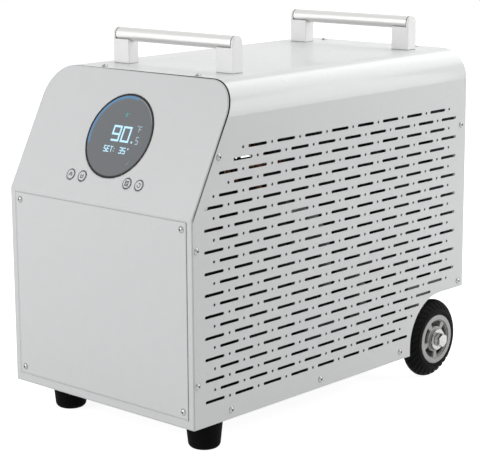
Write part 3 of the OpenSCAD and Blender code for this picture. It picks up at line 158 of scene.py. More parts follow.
def finish(name, colour, second, rough, spread=0.1, scale=300.0, stretch=(1, 1, 1), depth=0.00002,
           radius=0.0005, worn=(0.8, 0.8, 0.8), wear=0.0, dusty=0.15, dust_colour=(0.42, 0.4, 0.37),
           shade_in_recesses=0.0, reach=0.0015, **sockets):
    """A material of one Principled BSDF: grain in colour, roughness and bump, worn edges, dust, and painted
    shade in joints and recesses.
    """
    made = bpy.data.materials.new(name)
    made.use_nodes = True
    tree = made.node_tree
    bsdf = tree.nodes["Principled BSDF"]
    put = putter(tree)
    film = put("ShaderNodeGroup", node_tree=grain)
    for key, value in {"Colour": (*colour, 1), "Second": (*second, 1), "Scale": scale, "Stretch": stretch,
                       "Rough": rough, "Spread": spread}.items():
        film.inputs[key].default_value = value
    rim = put("ShaderNodeGroup", node_tree=edges)
    rim.inputs["Radius"].default_value = radius
    rim.inputs["Amount"].default_value = wear
    settled = put("ShaderNodeGroup", node_tree=dust)
    settled.inputs["Amount"].default_value = dusty
    bare = blend_colour(put, rim.outputs["Mask"], film.outputs["Color"], (*worn, 1))
    seen = blend_colour(put, settled.outputs["Mask"], bare, (*dust_colour, 1))
    # Painted shade: near-black is mixed in where joints and recesses close off their surroundings.
    if shade_in_recesses:
        recess_shading = put("ShaderNodeGroup", node_tree=recess_shade)
        recess_shading.inputs["Reach"].default_value = reach
        recess_shading.inputs["Amount"].default_value = shade_in_recesses
        seen = blend_colour(put, recess_shading.outputs["Mask"], seen, (0.02, 0.02, 0.02, 1))
    tree.links.new(seen, bsdf.inputs["Base Color"])
    duller = math(put, "MULTIPLY", settled.outputs["Mask"], 0.5)
    tree.links.new(math(put, "ADD", film.outputs["Roughness"], duller), bsdf.inputs["Roughness"])
    bump = put("ShaderNodeBump", {"Strength": 1.0, "Distance": depth, "Height": film.outputs["Height"],
                                  "Normal": rim.outputs["Normal"]})
    tree.links.new(bump.outputs["Normal"], bsdf.inputs["Normal"])
    for key, value in sockets.items():
        bsdf.inputs[key.replace("_", " ")].default_value = value
    return made


def tint(material, make_mask, colour, socket="Base Color"):
    """Mixes a colour into a material's socket where the mask that make_mask builds is 1."""
    tree = material.node_tree
    put = putter(tree)
    target = tree.nodes["Principled BSDF"].inputs[socket]
    before = target.links[0].from_socket if target.links else tuple(target.default_value)
    tree.links.new(blend_colour(put, make_mask(put), before, (*colour, 1)), target)


def dress(material, *names):
    """Gives CAD nodes this material in all their slots."""
    for name in names:
        slots = node[name].data.materials
        slots.clear()
        slots.append(material)


def along(put, axis, source="Object"):
    """One coordinate of the point (Object) or of its outward direction (Normal)."""
    if source == "Object":
        vector = put("ShaderNodeTexCoord").outputs["Object"]
    else:
        vector = put("ShaderNodeNewGeometry").outputs["Normal"]
    return put("ShaderNodeSeparateXYZ", {0: vector}).outputs[axis]


def ramp(put, value, start, end):
    """Goes from 0 at start to 1 at end, and stays there."""
    return put("ShaderNodeMapRange", {"Value": value, "From Min": start, "From Max": end}).outputs["Result"]


# Both white finishes paint shade into their joints and recesses.
powder = finish("white_powder_coat", (0.66, 0.665, 0.67), (0.645, 0.65, 0.655), 0.3, 0.06, 900.0,
                depth=0.00003, radius=0.0006, worn=(0.75, 0.75, 0.75), wear=0.15, dusty=0.05, shade_in_recesses=0.5,
                Coat_Weight=0.35, Coat_Roughness=0.08)
powder_front = finish("white_powder_front", (0.66, 0.665, 0.67), (0.645, 0.65, 0.655), 0.32, 0.06, 900.0,
                      depth=0.00003, radius=0.003, worn=(0.75, 0.75, 0.75), wear=0.02, dusty=0.05, shade_in_recesses=0.5,
                      Coat_Weight=0.25, Coat_Roughness=0.1)


def inner_shade(put):
    """1 on the inner faces, painted black as shade inside the casing: faces that look towards the middle of
    the casing.
    """
    outward = math(put, "MULTIPLY", along(put, "X", "Normal"), math(put, "SIGN", along(put, "X")))
    under_top = math(put, "MULTIPLY", ramp(put, along(put, "Z", "Normal"), -0.4, -0.6),
                     ramp(put, along(put, "Z"), 0.49, 0.5))
    return math(put, "MAXIMUM", ramp(put, outward, -0.4, -0.6), under_top)


def crease_shade(put):
    """1 on two faint lines across the top sheet: painted shade standing for creases."""
    y = along(put, "Y")
    first = ramp(put, math(put, "ABSOLUTE", math(put, "ADD", y, 0.18155)), 0.0012, 0.0002)
    second = ramp(put, math(put, "ABSOLUTE", math(put, "SUBTRACT", y, 0.22045)), 0.0012, 0.0002)
    lines = math(put, "MAXIMUM", first, second)
    on_top = ramp(put, along(put, "Z", "Normal"), 0.9, 0.98)
    return math(put, "MULTIPLY", math(put, "MULTIPLY", lines, on_top), 0.25)


# Painted shade: two faint grey lines across the top sheet.
tint(powder, crease_shade, (0.4, 0.41, 0.42))
# Painted shade: the inner faces of the cover and rear panel are coloured black.
tint(powder, inner_shade, (0.01, 0.01, 0.01))
dress(powder, "cover", "rear_panel")
dress(powder_front, "front_frame", "front_panel")


# Black strip of painted shadow in the seam
#
# A black strip lies in the gap between the control face and the cover, as painted shadow for
# the dark seam. It is bonded to the front frame's return and runs up one side, over the top and
# down the other. It is black above and greyer towards the bend.

def welded(name, grids, material, body, sharp=0.6):
    """A piece from grids of points, each with its rows and its columns closed on themselves or not.

    Every cell of a grid is a quad; points at one place are welded, and faces are turned outwards.
    """
    places, quads, start = [], [], 0
    for points, round_rows, round_columns in grids:
        rows, columns = points.shape[:2]
        r = np.arange(rows if round_rows else rows - 1)[:, None]
        c = np.arange(columns if round_columns else columns - 1)[None, :]
        r_next, c_next = (r + 1) % rows * columns, (c + 1) % columns
        cell = np.stack([r * columns + c, r * columns + c_next, r_next + c_next, r_next + c], -1)
        quads.append(cell.reshape(-1, 4) + start)
        places.append(points.reshape(-1, 3))
        start += rows * columns
    mesh = bpy.data.meshes.new(name)
    mesh.from_pydata(np.concatenate(places).tolist(), [], np.concatenate(quads).tolist())
    shell = bmesh.new()
    shell.from_mesh(mesh)
    bmesh.ops.remove_doubles(shell, verts=shell.verts, dist=2e-6)
    bmesh.ops.dissolve_degenerate(shell, edges=shell.edges, dist=1e-7)
    bmesh.ops.recalc_face_normals(shell, faces=shell.faces)
    shell.to_mesh(mesh)
    shell.free()
    mesh.shade_smooth()
    mesh.set_sharp_from_angle(angle=sharp)
    mesh.materials.append(material)
    made = bpy.data.objects.new(name, mesh)
    bpy.context.scene.collection.objects.link(made)
    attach(made, body)
    return made


def closed_ends(points):
    """A grid whose first and last rows shrink to their middles, so that both ends are closed."""
    first = np.repeat(points[:1].mean(1, keepdims=True), points.shape[1], 1)
    last = np.repeat(points[-1:].mean(1, keepdims=True), points.shape[1], 1)
    return np.concatenate([first, points, last])


LEAN = np.arctan2(92.0, 176.0)
FRONT, FLOOR, BEND = -329.55, 49.0, 296.0
SIDE_X, TOP_Z, CORNER = 140.0, 426.0, 46.0


def gap_shadow_points():
    """An oval section carried round the casing's outline in the seam.

    Row t is a centre and an outward direction: up the side, round the corner, over the top and down.
    The strip stands proud of the outline by an amount that grows towards the upper right corner.
    Column u is an inset from the outline, its middle and half width (1.9 - proud) / 2 and
    (1 + proud) / 2, and a depth behind the control face, 2.8 + 1.15 sin u. The row's point goes to
    the radius 46 less the inset, and the depth moves it back.
    """
    rise = np.linspace(BEND + 5, TOP_Z, 12)
    turn = np.linspace(0, np.pi / 2, 14)[1:]
    over = np.linspace(SIDE_X, -SIDE_X, 16)[1:]
    centre = np.concatenate([np.stack([0 * rise + SIDE_X, rise], 1), np.tile([SIDE_X, TOP_Z], (13, 1)),
                             np.stack([over, 0 * over + TOP_Z], 1)])
    facing = np.concatenate([0 * rise, turn, 0 * over + np.pi / 2])
    centre = np.concatenate([centre, (centre * [-1, 1])[-16::-1]])
    facing = np.concatenate([facing, np.pi - facing[-16::-1]])
    u = np.linspace(0, 2 * np.pi, 12, endpoint=False)
    proud = np.concatenate([
        np.interp(rise, [370, TOP_Z], [0, 1.4]), 1.4 + 0 * turn,
        np.interp(over, [-SIDE_X, SIDE_X], [0.5, 1.4]), np.linspace(0.5, 0, 13), 0 * rise])[:, None]
    reach = CORNER - ((1.9 - proud) / 2 + (1 + proud) / 2 * np.cos(u))
    depth = 2.8 + 1.15 * np.sin(u)
    x = centre[:, :1] + np.cos(facing)[:, None] * reach
    z = centre[:, 1:] + np.sin(facing)[:, None] * reach
    y = np.tan(LEAN) * (z - BEND) + depth / np.cos(LEAN)
    return np.stack([x, y + FRONT, z + FLOOR], -1) / 1000


gap_shadow = finish("gap_shadow_black", (0.004, 0.004, 0.004), (0.006, 0.006, 0.006), 0.6, 0.1, 700.0, dusty=0.05,
              Specular_IOR_Level=0.15)
# Greyer below: the painted shadow is fainter towards the bend.
tint(gap_shadow, lambda put: ramp(put, along(put, "Z"), 0.46, 0.35), (0.25, 0.25, 0.25))
welded("gap_shadow_strip", [(closed_ends(gap_shadow_points()), False, True)], gap_shadow, "casing")


# Tray and brackets
#
# The axle brackets are zinc-plated sheet, left bare, with the mottled spangle of hot-dipped
# zinc. The tray is folded sheet painted black, and the stands inside have a dark electrocoat.
# Brackets and tray have painted shade in their joints and recesses.

zinc = finish("zinc_sheet", (0.42, 0.43, 0.44), (0.32, 0.33, 0.35), 0.42, 0.3, 160.0, wear=0.4, dusty=0.3,
              shade_in_recesses=0.6, Metallic=0.9)
dress(zinc, "axle_brackets")
tray_paint = finish("tray_paint", (0.012, 0.012, 0.013), (0.02, 0.02, 0.021), 0.5, 0.15, 500.0, wear=0.3,
                    worn=(0.12, 0.12, 0.12), dusty=0.15, dust_colour=(0.1, 0.1, 0.1), shade_in_recesses=0.5)
dress(tray_paint, "base_tray")
electrocoat = finish("electrocoat", (0.03, 0.03, 0.032), (0.045, 0.045, 0.047), 0.45, 0.2, 400.0, wear=0.4,
                     worn=(0.2, 0.2, 0.2))
dress(electrocoat, "condenser_stand", "electrics_bracket")


# Screws, bolts and nuts
#
# Button-head screws and hexagon bolts of bright plated steel, turned, so their grain runs round.
# Painted shade darkens their sockets and round their heads.

screw_steel = finish("bright_screw", (0.42, 0.42, 0.41), (0.26, 0.26, 0.26), 0.2, 0.2, 700.0, radius=0.0003,
                     wear=0.2, dusty=0.1, shade_in_recesses=1.0, reach=0.002, Metallic=1.0)
dress(screw_steel, "side_screws", "top_screws", "front_panel_screws", "rear_screws", "handle_screws",
      "foot_bolts", "bracket_bolts", "compressor_bolts")
nut_steel = finish("nickel_plate", (0.52, 0.52, 0.51), (0.42, 0.42, 0.42), 0.2, 0.2, 700.0, radius=0.0004,
                   wear=0.2, dusty=0.1, shade_in_recesses=0.8, reach=0.003, Metallic=1.0)
dress(nut_steel, "axle_washers", "axle_nuts")
ground = finish("ground_steel", (0.5, 0.5, 0.5), (0.36, 0.36, 0.36), 0.3, 0.2, 900.0, (0.05, 1, 1),
                Metallic=1.0)
dress(ground, "axle", "bearings_left", "bearings_right")


# Carry handles
#
# Each handle is a drawn tube, satin anodised, between two powder-coated posts. A black bead
# of painted shadow shows where the tube's end meets the cheek.

satin = finish("satin_tube", (0.74, 0.74, 0.73), (0.69, 0.69, 0.68), 0.34, 0.1, 1500.0, (0.02, 1, 1),
               depth=0.00001, dusty=0.03, Metallic=0.75, Coat_Weight=0.3)
dress(satin, "front_handle_tube", "rear_handle_tube")
# The posts have painted shade in their joints and recesses.
post_coat = finish("post_coat", (0.86, 0.86, 0.86), (0.84, 0.84, 0.84), 0.32, 0.08, 900.0, depth=0.00003,
                   radius=0.0012, wear=0.1, dusty=0.05, shade_in_recesses=0.6, reach=0.003, Coat_Weight=0.25,
                   Coat_Roughness=0.12)
dress(post_coat, "front_handle_posts", "rear_handle_posts")
HANDLE_Y, HANDLE_Z, TUBE_END = (-165.55, 240.45), 563.8, 116.55


def seam_points(x, y):
    """A flat bead, 1.4 by 0.16, carried along an arc of radius 10.02 from -25 to 240 degrees."""
    turn = np.radians(np.linspace(-25, 240, 48))[:, None]
    u = np.linspace(0, 2 * np.pi, 8, endpoint=False)[None, :]
    radius = 10.02 + 0.08 * np.sin(u)
    side = x + 0.7 * np.cos(u)
    high = HANDLE_Z + radius * np.sin(turn)
    return np.stack([side + 0 * turn, y + radius * np.cos(turn), high], -1) / 1000


# Painted shadow: a black bead round each end of the tube, where the seam lies.
seam_shadow_paint = finish("seam_shadow", (0.01, 0.01, 0.01), (0.02, 0.02, 0.02), 0.6, dusty=0.02)
for label, y in zip(("front", "rear"), HANDLE_Y):
    rings = [(closed_ends(seam_points(x, y)), False, True) for x in (-TUBE_END, TUBE_END)]
    welded(label + "_handle_seam_shadows", rings, seam_shadow_paint, "casing")


# Round display
#
# A smoked cover glass in a thin black rim. The numerals behind it are lit pale blue, and a
# blue glow follows the rim at its upper left. A pale line inside the rim at the upper right is a
# painted highlight.

gloss_black = finish("gloss_black", (0.008, 0.008, 0.009), (0.014, 0.014, 0.014), 0.2, 0.1, 400.0, dusty=0.05,
                     Coat_Weight=0.2, Specular_IOR_Level=0.2)
dress(gloss_black, "display_bezel")
smoked = finish("smoked_glass", (0.142, 0.152, 0.162), (0.134, 0.144, 0.154), 0.1, 0.04, 40.0, depth=0.0,
                dusty=0.03, Coat_Weight=0.3, Emission_Color=(0, 0, 0, 1), Emission_Strength=1.0)
DISPLAY = 101.0
LENS_CENTRE = (0.0, -0.28276, 0.43451)


def dial(put):
    """The lens in polar form: the angle clockwise from twelve o'clock and the radius, in metres."""
    arm = put("ShaderNodeVectorMath", {0: put("ShaderNodeTexCoord").outputs["Object"], 1: LENS_CENTRE},
              operation="SUBTRACT").outputs[0]
    across = put("ShaderNodeSeparateXYZ", {0: arm}).outputs["X"]
    up = put("ShaderNodeVectorMath", {0: arm, 1: (0.0, float(np.sin(LEAN)), float(np.cos(LEAN)))},
             operation="DOT_PRODUCT").outputs["Value"]
    square = math(put, "ADD", math(put, "MULTIPLY", across, across), math(put, "MULTIPLY", up, up))
    return math(put, "ARCTAN2", across, up), math(put, "SQRT", square)


def glow(put):
    """1 near the rim from -105 to +15 degrees, fading over its inner 3 mm."""
    angle, radius = dial(put)
    turned = math(put, "ABSOLUTE", math(put, "ADD", angle, 0.785))
    return math(put, "MULTIPLY", ramp(put, radius, 0.0552, 0.0582), ramp(put, turned, 1.1, 1.02))


def bevel_highlight(put):
    """1 on a line 0.8 mm wide inside the rim at the upper right: a painted highlight on the glass's bevel."""
    angle, radius = dial(put)
    line = ramp(put, math(put, "ABSOLUTE", math(put, "SUBTRACT", radius, 0.06)), 0.0006, 0.0003)
    turned = math(put, "ABSOLUTE", math(put, "SUBTRACT", angle, 0.7))
    return math(put, "MULTIPLY", line, ramp(put, turned, 0.55, 0.3))


def border(put):
    """1 on the outermost 1.4 mm of the glass, which is printed black on its back."""
    return ramp(put, dial(put)[1], 0.0604, 0.0607)


tint(smoked, glow, (0.04, 0.1, 0.17))
tint(smoked, border, (0.008, 0.008, 0.009))
tint(smoked, glow, (0.04, 0.14, 0.27), "Emission Color")
tint(smoked, border, (0, 0, 0), "Emission Color")
# Painted highlight: a pale line is given off inside the rim at the upper right.
tint(smoked, bevel_highlight, (0.2, 0.21, 0.22), "Emission Color")
dress(smoked, "display_lens")
dark_plastic = finish("moulded_dark", (0.05, 0.05, 0.055), (0.03, 0.03, 0.033), 0.5, 0.2, 600.0,
                      depth=0.00006)
dress(dark_plastic, "display_module", "control_box")
board = finish("solder_mask", (0.01, 0.09, 0.03), (0.01, 0.14, 0.05), 0.35, 0.2, 900.0)
dress(board, "key_board")
brass = finish("turned_brass", (0.55, 0.38, 0.13), (0.45, 0.3, 0.1), 0.3, 0.2, 700.0, Metallic=1.0)
dress(brass, "board_standoffs")


def stroke(route, width, low, high, closed=False, lean=LEAN, foot=BEND):
    """A flat bar on a face, carried along a route of (across, up) points in millimetres.

    Row i is route point i plus a share of the width along the mitre there, which is the sum of the
    two legs' normals over one plus their product. Column j is the section, with eased upper edges.
    Across, up and over the face become x, y and z by turning through the face's lean, from its foot.
    """
    route = np.asarray(route, float)
    legs = np.diff(np.vstack([route, route[:1]]) if closed else route, axis=0)
    normal = np.stack([-legs[:, 1], legs[:, 0]], 1) / np.hypot(*legs.T)[:, None]
    before = np.roll(normal, 1, 0) if closed else np.vstack([normal[:1], normal])
    after = normal if closed else np.vstack([normal, normal[-1:]])
    mitre = (before + after) / (1 + (before * after).sum(1))[:, None]
    side = np.array([-0.5, -0.5, -0.42, 0.42, 0.5, 0.5]) * width
    height = np.array([low, high - 0.03, high, high, high - 0.03, low])
    flat = route[:, None, :] + mitre[:, None, :] * side[None, :, None]
    x, s, n = flat[..., 0], flat[..., 1], np.broadcast_to(height, flat.shape[:2])
    y = FRONT + np.sin(lean) * s - np.cos(lean) * n
    z = FLOOR + foot + np.cos(lean) * s + np.sin(lean) * n
    points = np.stack([x, y, z], -1) / 1000
    return points if closed else closed_ends(points), closed, True


def ring(x, s, radius, start=0, sweep=360, count=40):
    """A route round a circle, from an angle through a sweep, both in degrees anticlockwise from the right."""
    turn = np.radians(start + sweep * np.linspace(0, 1, count, endpoint=sweep < 360))
    return np.stack([x + radius * np.cos(turn), s + radius * np.sin(turn)], 1)


FIVE = [(1, 1), (0, 1), (0, 0.5), (1, 0.5), (1, 0), (0, 0)]
NINE = [(0, 0), (1, 0), (1, 1), (0, 1), (0, 0.45), (1, 0.45)]
ZERO = [(0, 0), (1, 0), (1, 1), (0, 1)]
THREE = [[(0, 1), (1, 1), (1, 0), (0, 0)], [(0.15, 0.5), (1, 0.5)]]
LETTER_E = [[(1, 1), (0, 1), (0, 0), (1, 0)], [(0, 0.5), (0.85, 0.5)]]
LETTER_T = [[(0, 1), (1, 1)], [(0.5, 1), (0.5, 0)]]
LETTER_F = [[(0, 0), (0, 1), (1, 1)], [(0, 0.5), (0.85, 0.5)]]


def placed(shape, x, s, width, height, slant=0.0):
    """A shape of unit size put at (x, s), made width by height, its top pushed over by the slant."""
    shape = np.asarray(shape, float)
    return np.stack([x + shape[:, 0] * width + slant * shape[:, 1] * height, s + shape[:, 1] * height], 1)


digits = [(placed(NINE, -14, -7.4, 14, 21), 3.0, False), (placed(ZERO, 6, -7.4, 14, 21), 3.0, True),
          (placed([(0, 0), (1, 0)], 27, -7.4, 2.8, 1), 2.8, False)]
small = [(placed(FIVE, 35.4, -9.2, 4.6, 10.4), 1.4, False)]
small += [(placed(part, 35, 8.6, 4.8, 8.4), 1.3, False) for part in LETTER_F]
small += [(ring(31.6, 17.4, 1.0, count=16), 0.7, True)]
digits += [(placed(FIVE, -21.6, -25.2, 4.4, 8.2), 1.4, False)]
digits += [(placed(part, -15, -25.2, 4.2, 8.2), 1.4, False) for part in LETTER_E]
digits += [(placed(part, -9.2, -25.2, 5, 8.2), 1.4, False) for part in LETTER_T]
digits += [(placed([(0, 0), (1, 0)], -2.2, s, 1.4, 1), 1.4, False) for s in (-23.4, -19.4)]
digits += [(placed(part, 9.4, -25.2, 4.8, 8.2), 1.4, False) for part in THREE]
digits += [(placed(FIVE, 16.4, -25.2, 5, 8.2), 1.4, False), (ring(26, -17.8, 1.0, count=16), 0.8, True)]
lit = finish("lit_numerals", (0.3, 0.45, 0.55), (0.28, 0.42, 0.52), 0.4, Emission_Color=(0.42, 0.74, 0.92, 1),
             Emission_Strength=0.72)
dim = finish("dim_numerals", (0.25, 0.32, 0.36), (0.23, 0.3, 0.34), 0.4, Emission_Color=(0.3, 0.45, 0.55, 1),
             Emission_Strength=0.5)
welded("display_marks", [stroke(route + [0, DISPLAY], width, 0.36, 0.5, closed)
                         for route, width, closed in digits], lit, "casing")
welded("display_small_marks", [stroke(route + [0, DISPLAY], width, 0.36, 0.5, closed)
                               for route, width, closed in small], dim, "casing")
icon = [(placed([(0.5, 1), (0, 0.4), (0.2, 0), (0.8, 0), (1, 0.4)], 0, 29.6, 3.4, 5), 1.0, True),
        (placed([(0, 0), (1, 1)], 4.4, 33, 1.6, 2.4), 0.8, False)]
teal = finish("lit_teal", (0.03, 0.25, 0.27), (0.03, 0.22, 0.24), 0.4, Emission_Color=(0.08, 0.42, 0.45, 1),
              Emission_Strength=0.5)
welded("display_icon", [stroke(route + [0, DISPLAY], width, 0.36, 0.5 - 0.03 * i, closed)
                        for i, (route, width, closed) in enumerate(icon)], teal, "casing")
faint = finish("faint_mark", (0.28, 0.29, 0.3), (0.25, 0.26, 0.27), 0.4)
welded("display_tick", [stroke(placed(part, 31.5, DISPLAY - 41.5, 5.5, 8), 1.1, 0.36, 0.48)
                        for part in ([(0, 0), (0.5, 0.5)], [(0.5, 0.3), (1, 1)])], faint, "casing")


# Filler round the front panel
#
# The panel's gap is filled with white sealer at its left, upper and lower edge and left open at
# its right edge, where it shows as a dark line.

filler = finish("white_sealer", (0.64, 0.645, 0.65), (0.62, 0.625, 0.63), 0.4, 0.06, 900.0, dusty=0.03)
PANEL_X, PANEL_Z = 175.2, (13.0, 290.5)
SIDE_GAP, END_GAP, GAP_FLOOR = 1.3, 0.5, -1.4
beads = [
    ((-PANEL_X - SIDE_GAP / 2, PANEL_Z[0]), (-PANEL_X - SIDE_GAP / 2, PANEL_Z[1]), SIDE_GAP, -0.04),
    ((-PANEL_X - SIDE_GAP, PANEL_Z[0] - END_GAP / 2), (PANEL_X, PANEL_Z[0] - END_GAP / 2), END_GAP, -0.04),
    ((-PANEL_X - SIDE_GAP, PANEL_Z[1] + END_GAP / 2), (PANEL_X, PANEL_Z[1] + END_GAP / 2), END_GAP, -0.3)]
welded("panel_filler", [stroke([start, end], width, GAP_FLOOR, high, lean=0.0, foot=0.0)
                        for start, end, width, high in beads], filler, "casing")


# Keys
#
# Four moulded caps, each in a dark ring, with a printed mark: raise, lower, mode and power. The
# dark ring is ink standing in for the shade in the gap round the cap: painted shade.

# The caps have painted shade at their joints and recesses.
cap = finish("key_cap", (0.68, 0.69, 0.7), (0.64, 0.65, 0.66), 0.3, 0.1, 800.0, radius=0.0006, shade_in_recesses=0.9)
dress(cap, "button_up", "button_down", "button_mode", "button_power")
ink_and_gap_shade = finish("printed_ink_and_gap_shade", (0.03, 0.032, 0.035), (0.05, 0.052, 0.055), 0.5, 0.1, 900.0)
KEY_S = 34.4
key_marks = {
    "up": (-70.0, [([(-2.9, -3.0), (-2.6, 0.6), (0.2, 3.3), (2.7, 0.4), (2.6, -3.0)], 1.2, False),
                   ([(-1.3, -1.4), (0.1, 0.4), (1.4, -1.4)], 1.1, False)]),
    "down": (-46.0, [([(-2.9, 2.4), (-1.8, -2.8), (1.8, -2.8), (2.9, 2.4)], 1.2, False),
                     ([(-0.8, -0.6), (1.2, 1.8)], 1.1, False)]),
    "mode": (46.0, [([(-2.8, -3.3), (2.8, -3.3), (2.8, 3.3), (-2.8, 3.3)], 1.3, True),
                    ([(-2.6, 1.0), (2.6, 1.0)], 1.1, False), ([(-2.6, -1.2), (2.6, -1.2)], 1.1, False)]),
    "power": (70.0, [(ring(0, 0, 3.0, 120, -310, 24), 1.2, False)]),
}
for key, (x, marks) in key_marks.items():
    grids = [stroke(np.asarray(route) + [x, KEY_S], width, 0.66, 0.8 - 0.02 * i, closed)
             for i, (route, width, closed) in enumerate(marks)]
    # Painted shade: a dark ring of ink where the gap round the cap lies.
    grids.append(stroke(ring(x, KEY_S, 7.1), 0.85, 0.66, 0.76, True))
    welded("mark_" + key, grids, ink_and_gap_shade, key + "_key")


# Feet
#
# Two moulded black rubber blocks, bolted through the tray.

rubber = finish("moulded_rubber", (0.004, 0.004, 0.0042), (0.007, 0.007, 0.007), 0.66, 0.2, 700.0,
                depth=0.0001, radius=0.0015, worn=(0.02, 0.02, 0.02), wear=0.4, dusty=0.03,
                dust_colour=(0.03, 0.03, 0.03), Specular_IOR_Level=0.03)
dress(rubber, "front_feet", "compressor_grommets")


# Tyres
#
# Solid rubber tyres, moulded in one piece: a smooth ring next to the rim, a groove, and slanted
# lugs from the shoulder to a rib round the middle.

tread = finish("tyre_rubber", (0.005, 0.005, 0.0052), (0.009, 0.009, 0.009), 0.6, 0.2, 500.0, depth=0.0001,
               radius=0.001, worn=(0.015, 0.015, 0.015), wear=0.2, dusty=0.05,
               dust_colour=(0.03, 0.03, 0.03), Specular_IOR_Level=0.05)
LUGS, LUG_DEPTH, WHEEL_X, AXLE_Y, AXLE_Z = 32, 1.2, 169.5, 230.45, 62.5
HALF_TYRE = np.array([
    (14.3, 42.3), (16.5, 39.8), (16.95, 40.3), (17.0, 41.2), (17.0, 45.3), (16.7, 46.3), (15.6, 46.9),
    (14.8, 47.6), (14.7, 48.6), (14.3, 49.8), (12.9, 52.0), (10.6, 55.4), (8.2, 58.3), (5.6, 60.7),
    (3.0, 62.1), (0.0, 62.5)])


def tyre_points(side):
    """The tyre's section carried round the axle, with the grooves between the lugs pushed in.

    Row v is a point of the section (distance along the axle, radius), 40 to a half, spaced evenly
    along its length, the left half mirrored. Column u is the turn. Where the turn times the lugs,
    plus a slant times the distance from the crown, falls in a groove, the point goes in by the
    lug's depth along the section's normal. The grooves fade out at the rib and on the side ring.
    """
    length = np.r_[0, np.cumsum(np.hypot(*np.diff(HALF_TYRE, axis=0).T))]
    even = np.linspace(0, length[-1], 40)
    half = np.stack([np.interp(even, length, HALF_TYRE[:, k]) for k in (0, 1)], 1)
    section = np.vstack([half, (half * [-1, 1])[-2::-1]])
    slope = np.gradient(section, axis=0)
    normal = np.stack([slope[:, 1], -slope[:, 0]], 1) / np.hypot(*slope.T)[:, None]
    away = np.r_[length[-1] - even, even[1:]][:, None]
    across = np.abs(section[:, :1])
    lands = np.clip((section[:, 1:] - 48.9) / 0.8, 0, 1) * np.clip((across - 1.8) / 0.8, 0, 1)
    turn = np.linspace(0, 2 * np.pi, LUGS * 22, endpoint=False)[None, :]
    beat = LUGS * turn / (2 * np.pi) + 0.055 * away + 0.5 * (section[:, :1] < 0)
    off_centre = np.abs((beat % 1) - 0.5) * 2
    groove = np.clip((0.4 - off_centre) / 0.12, 0, 1) * lands * LUG_DEPTH
    along_axle = WHEEL_X + section[:, :1] - normal[:, :1] * groove
    radius = section[:, 1:] - normal[:, 1:] * groove
    back, high = AXLE_Y + radius * np.cos(turn), AXLE_Z + radius * np.sin(turn)
    return np.stack([side * along_axle, back, high], -1) / 1000


for label, side in (("left", -1), ("right", 1)):
    tyre = welded(label + "_tyre", [(tyre_points(side), True, True)], tread, "wheel_" + label, 0.5)
    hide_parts("tyre_" + label)


# Rims
#
# Grey rims, moulded with five curved slots, a flat outer ring and a boss for the bearings. All
# that lies deeper than the slotted web is painted black as shade, and painted shade darkens
# its joints and recesses.

rim = finish("rim_moulding", (0.42, 0.42, 0.415), (0.36, 0.36, 0.355), 0.42, 0.12, 500.0, radius=0.0012,
             wear=0.15, worn=(0.5, 0.5, 0.5), dusty=0.08, shade_in_recesses=0.3, reach=0.002)
# Painted shade: all of the rim inside the slotted web, towards the casing, is coloured black.
tint(rim, lambda put: ramp(put, math(put, "ABSOLUTE", along(put, "X")), 0.181, 0.1795), (0.02, 0.02, 0.02))
dress(rim, "rim_left", "rim_right")


# Fan
#
# One moulding of black plastic: a hub pressed on the motor's shaft and five swept blades.

fan_plastic = finish("fan_moulding", (0.012, 0.012, 0.013), (0.02, 0.02, 0.021), 0.45, 0.15, 400.0, dusty=0.2)
FAN_Y, FAN_Z = 260.45, 349.0


def blade_points(number):
    """A blade from the hub (row 0) to the tip, its section carried along the radius.

    At a radius, the chord grows from 44 to 62, its middle swept forward by the square of the way
    out. Chord share c turns it by the chord over the radius and moves it along the shaft by 9 c
    and by a camber of 1.6 (1 - c squared); the thickness is 1 with its ends rounded.
    """
    way = np.linspace(0, 1, 14)[:, None]
    radius = 34.5 + 81 * way
    loop = np.linspace(0, 2 * np.pi, 36, endpoint=False)[None, :]
    c = np.cos(loop)
    angle = 2 * np.pi * number / 5 + 0.4 * way ** 2 + (22 + 9 * way) * c / radius
    depth = 9.0 * c + 1.6 * (1 - c * c) + 0.9 * np.sin(loop)
    back, high = FAN_Y + depth + 0 * radius, FAN_Z + radius * np.sin(angle)
    return np.stack([radius * np.cos(angle), back, high], -1) / 1000


def turned(profile, x, y, z, sign=1, count=64):
    """A profile of (radius, distance) pairs turned about a line through (x, z) that runs along Y from y."""
    profile = np.asarray(profile, float)
    turn = np.linspace(0, 2 * np.pi, count, endpoint=False)[None, :]
    r, d = profile[:, :1], profile[:, 1:]
    return np.stack([x + r * np.cos(turn), y + sign * d + 0 * turn, z + r * np.sin(turn)], -1) / 1000


hub = [(0, -11), (36, -11), (36, 3.5), (35, 7), (31, 9.6), (23, 10), (22, 9), (9.6, 9.2), (9, 10.4),
       (0, 10.4)]
shaft = [(0, -29), (3.6, -29), (4, -28.6), (4, -10), (0, -10)]
blades = [(closed_ends(blade_points(i)), False, True) for i in range(5)]
middle = [(turned(part, 0, FAN_Y, FAN_Z), False, True) for part in (hub, shaft)]
fan = welded("fan_blades", blades + middle, fan_plastic, "fan")
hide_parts("fan_rotor")


# Condenser
#
# A block of thin aluminium fins on copper tubes, between two end plates. The fins have a dark
# coating, and the two tube stubs stand out in front.

fin_stock = finish("fin_stock", (0.16, 0.165, 0.17), (0.1, 0.105, 0.11), 0.45, 0.2, 900.0, (1, 1, 0.05),
                   Metallic=0.6)
CORE_X, CORE_Y, CORE_T, CORE_Z = 145.0, 498.0, 40.0, (165.0, 438.0)
FIN_COUNT, FIN_DEPTH, PLATE = 96, 3.0, 3.0


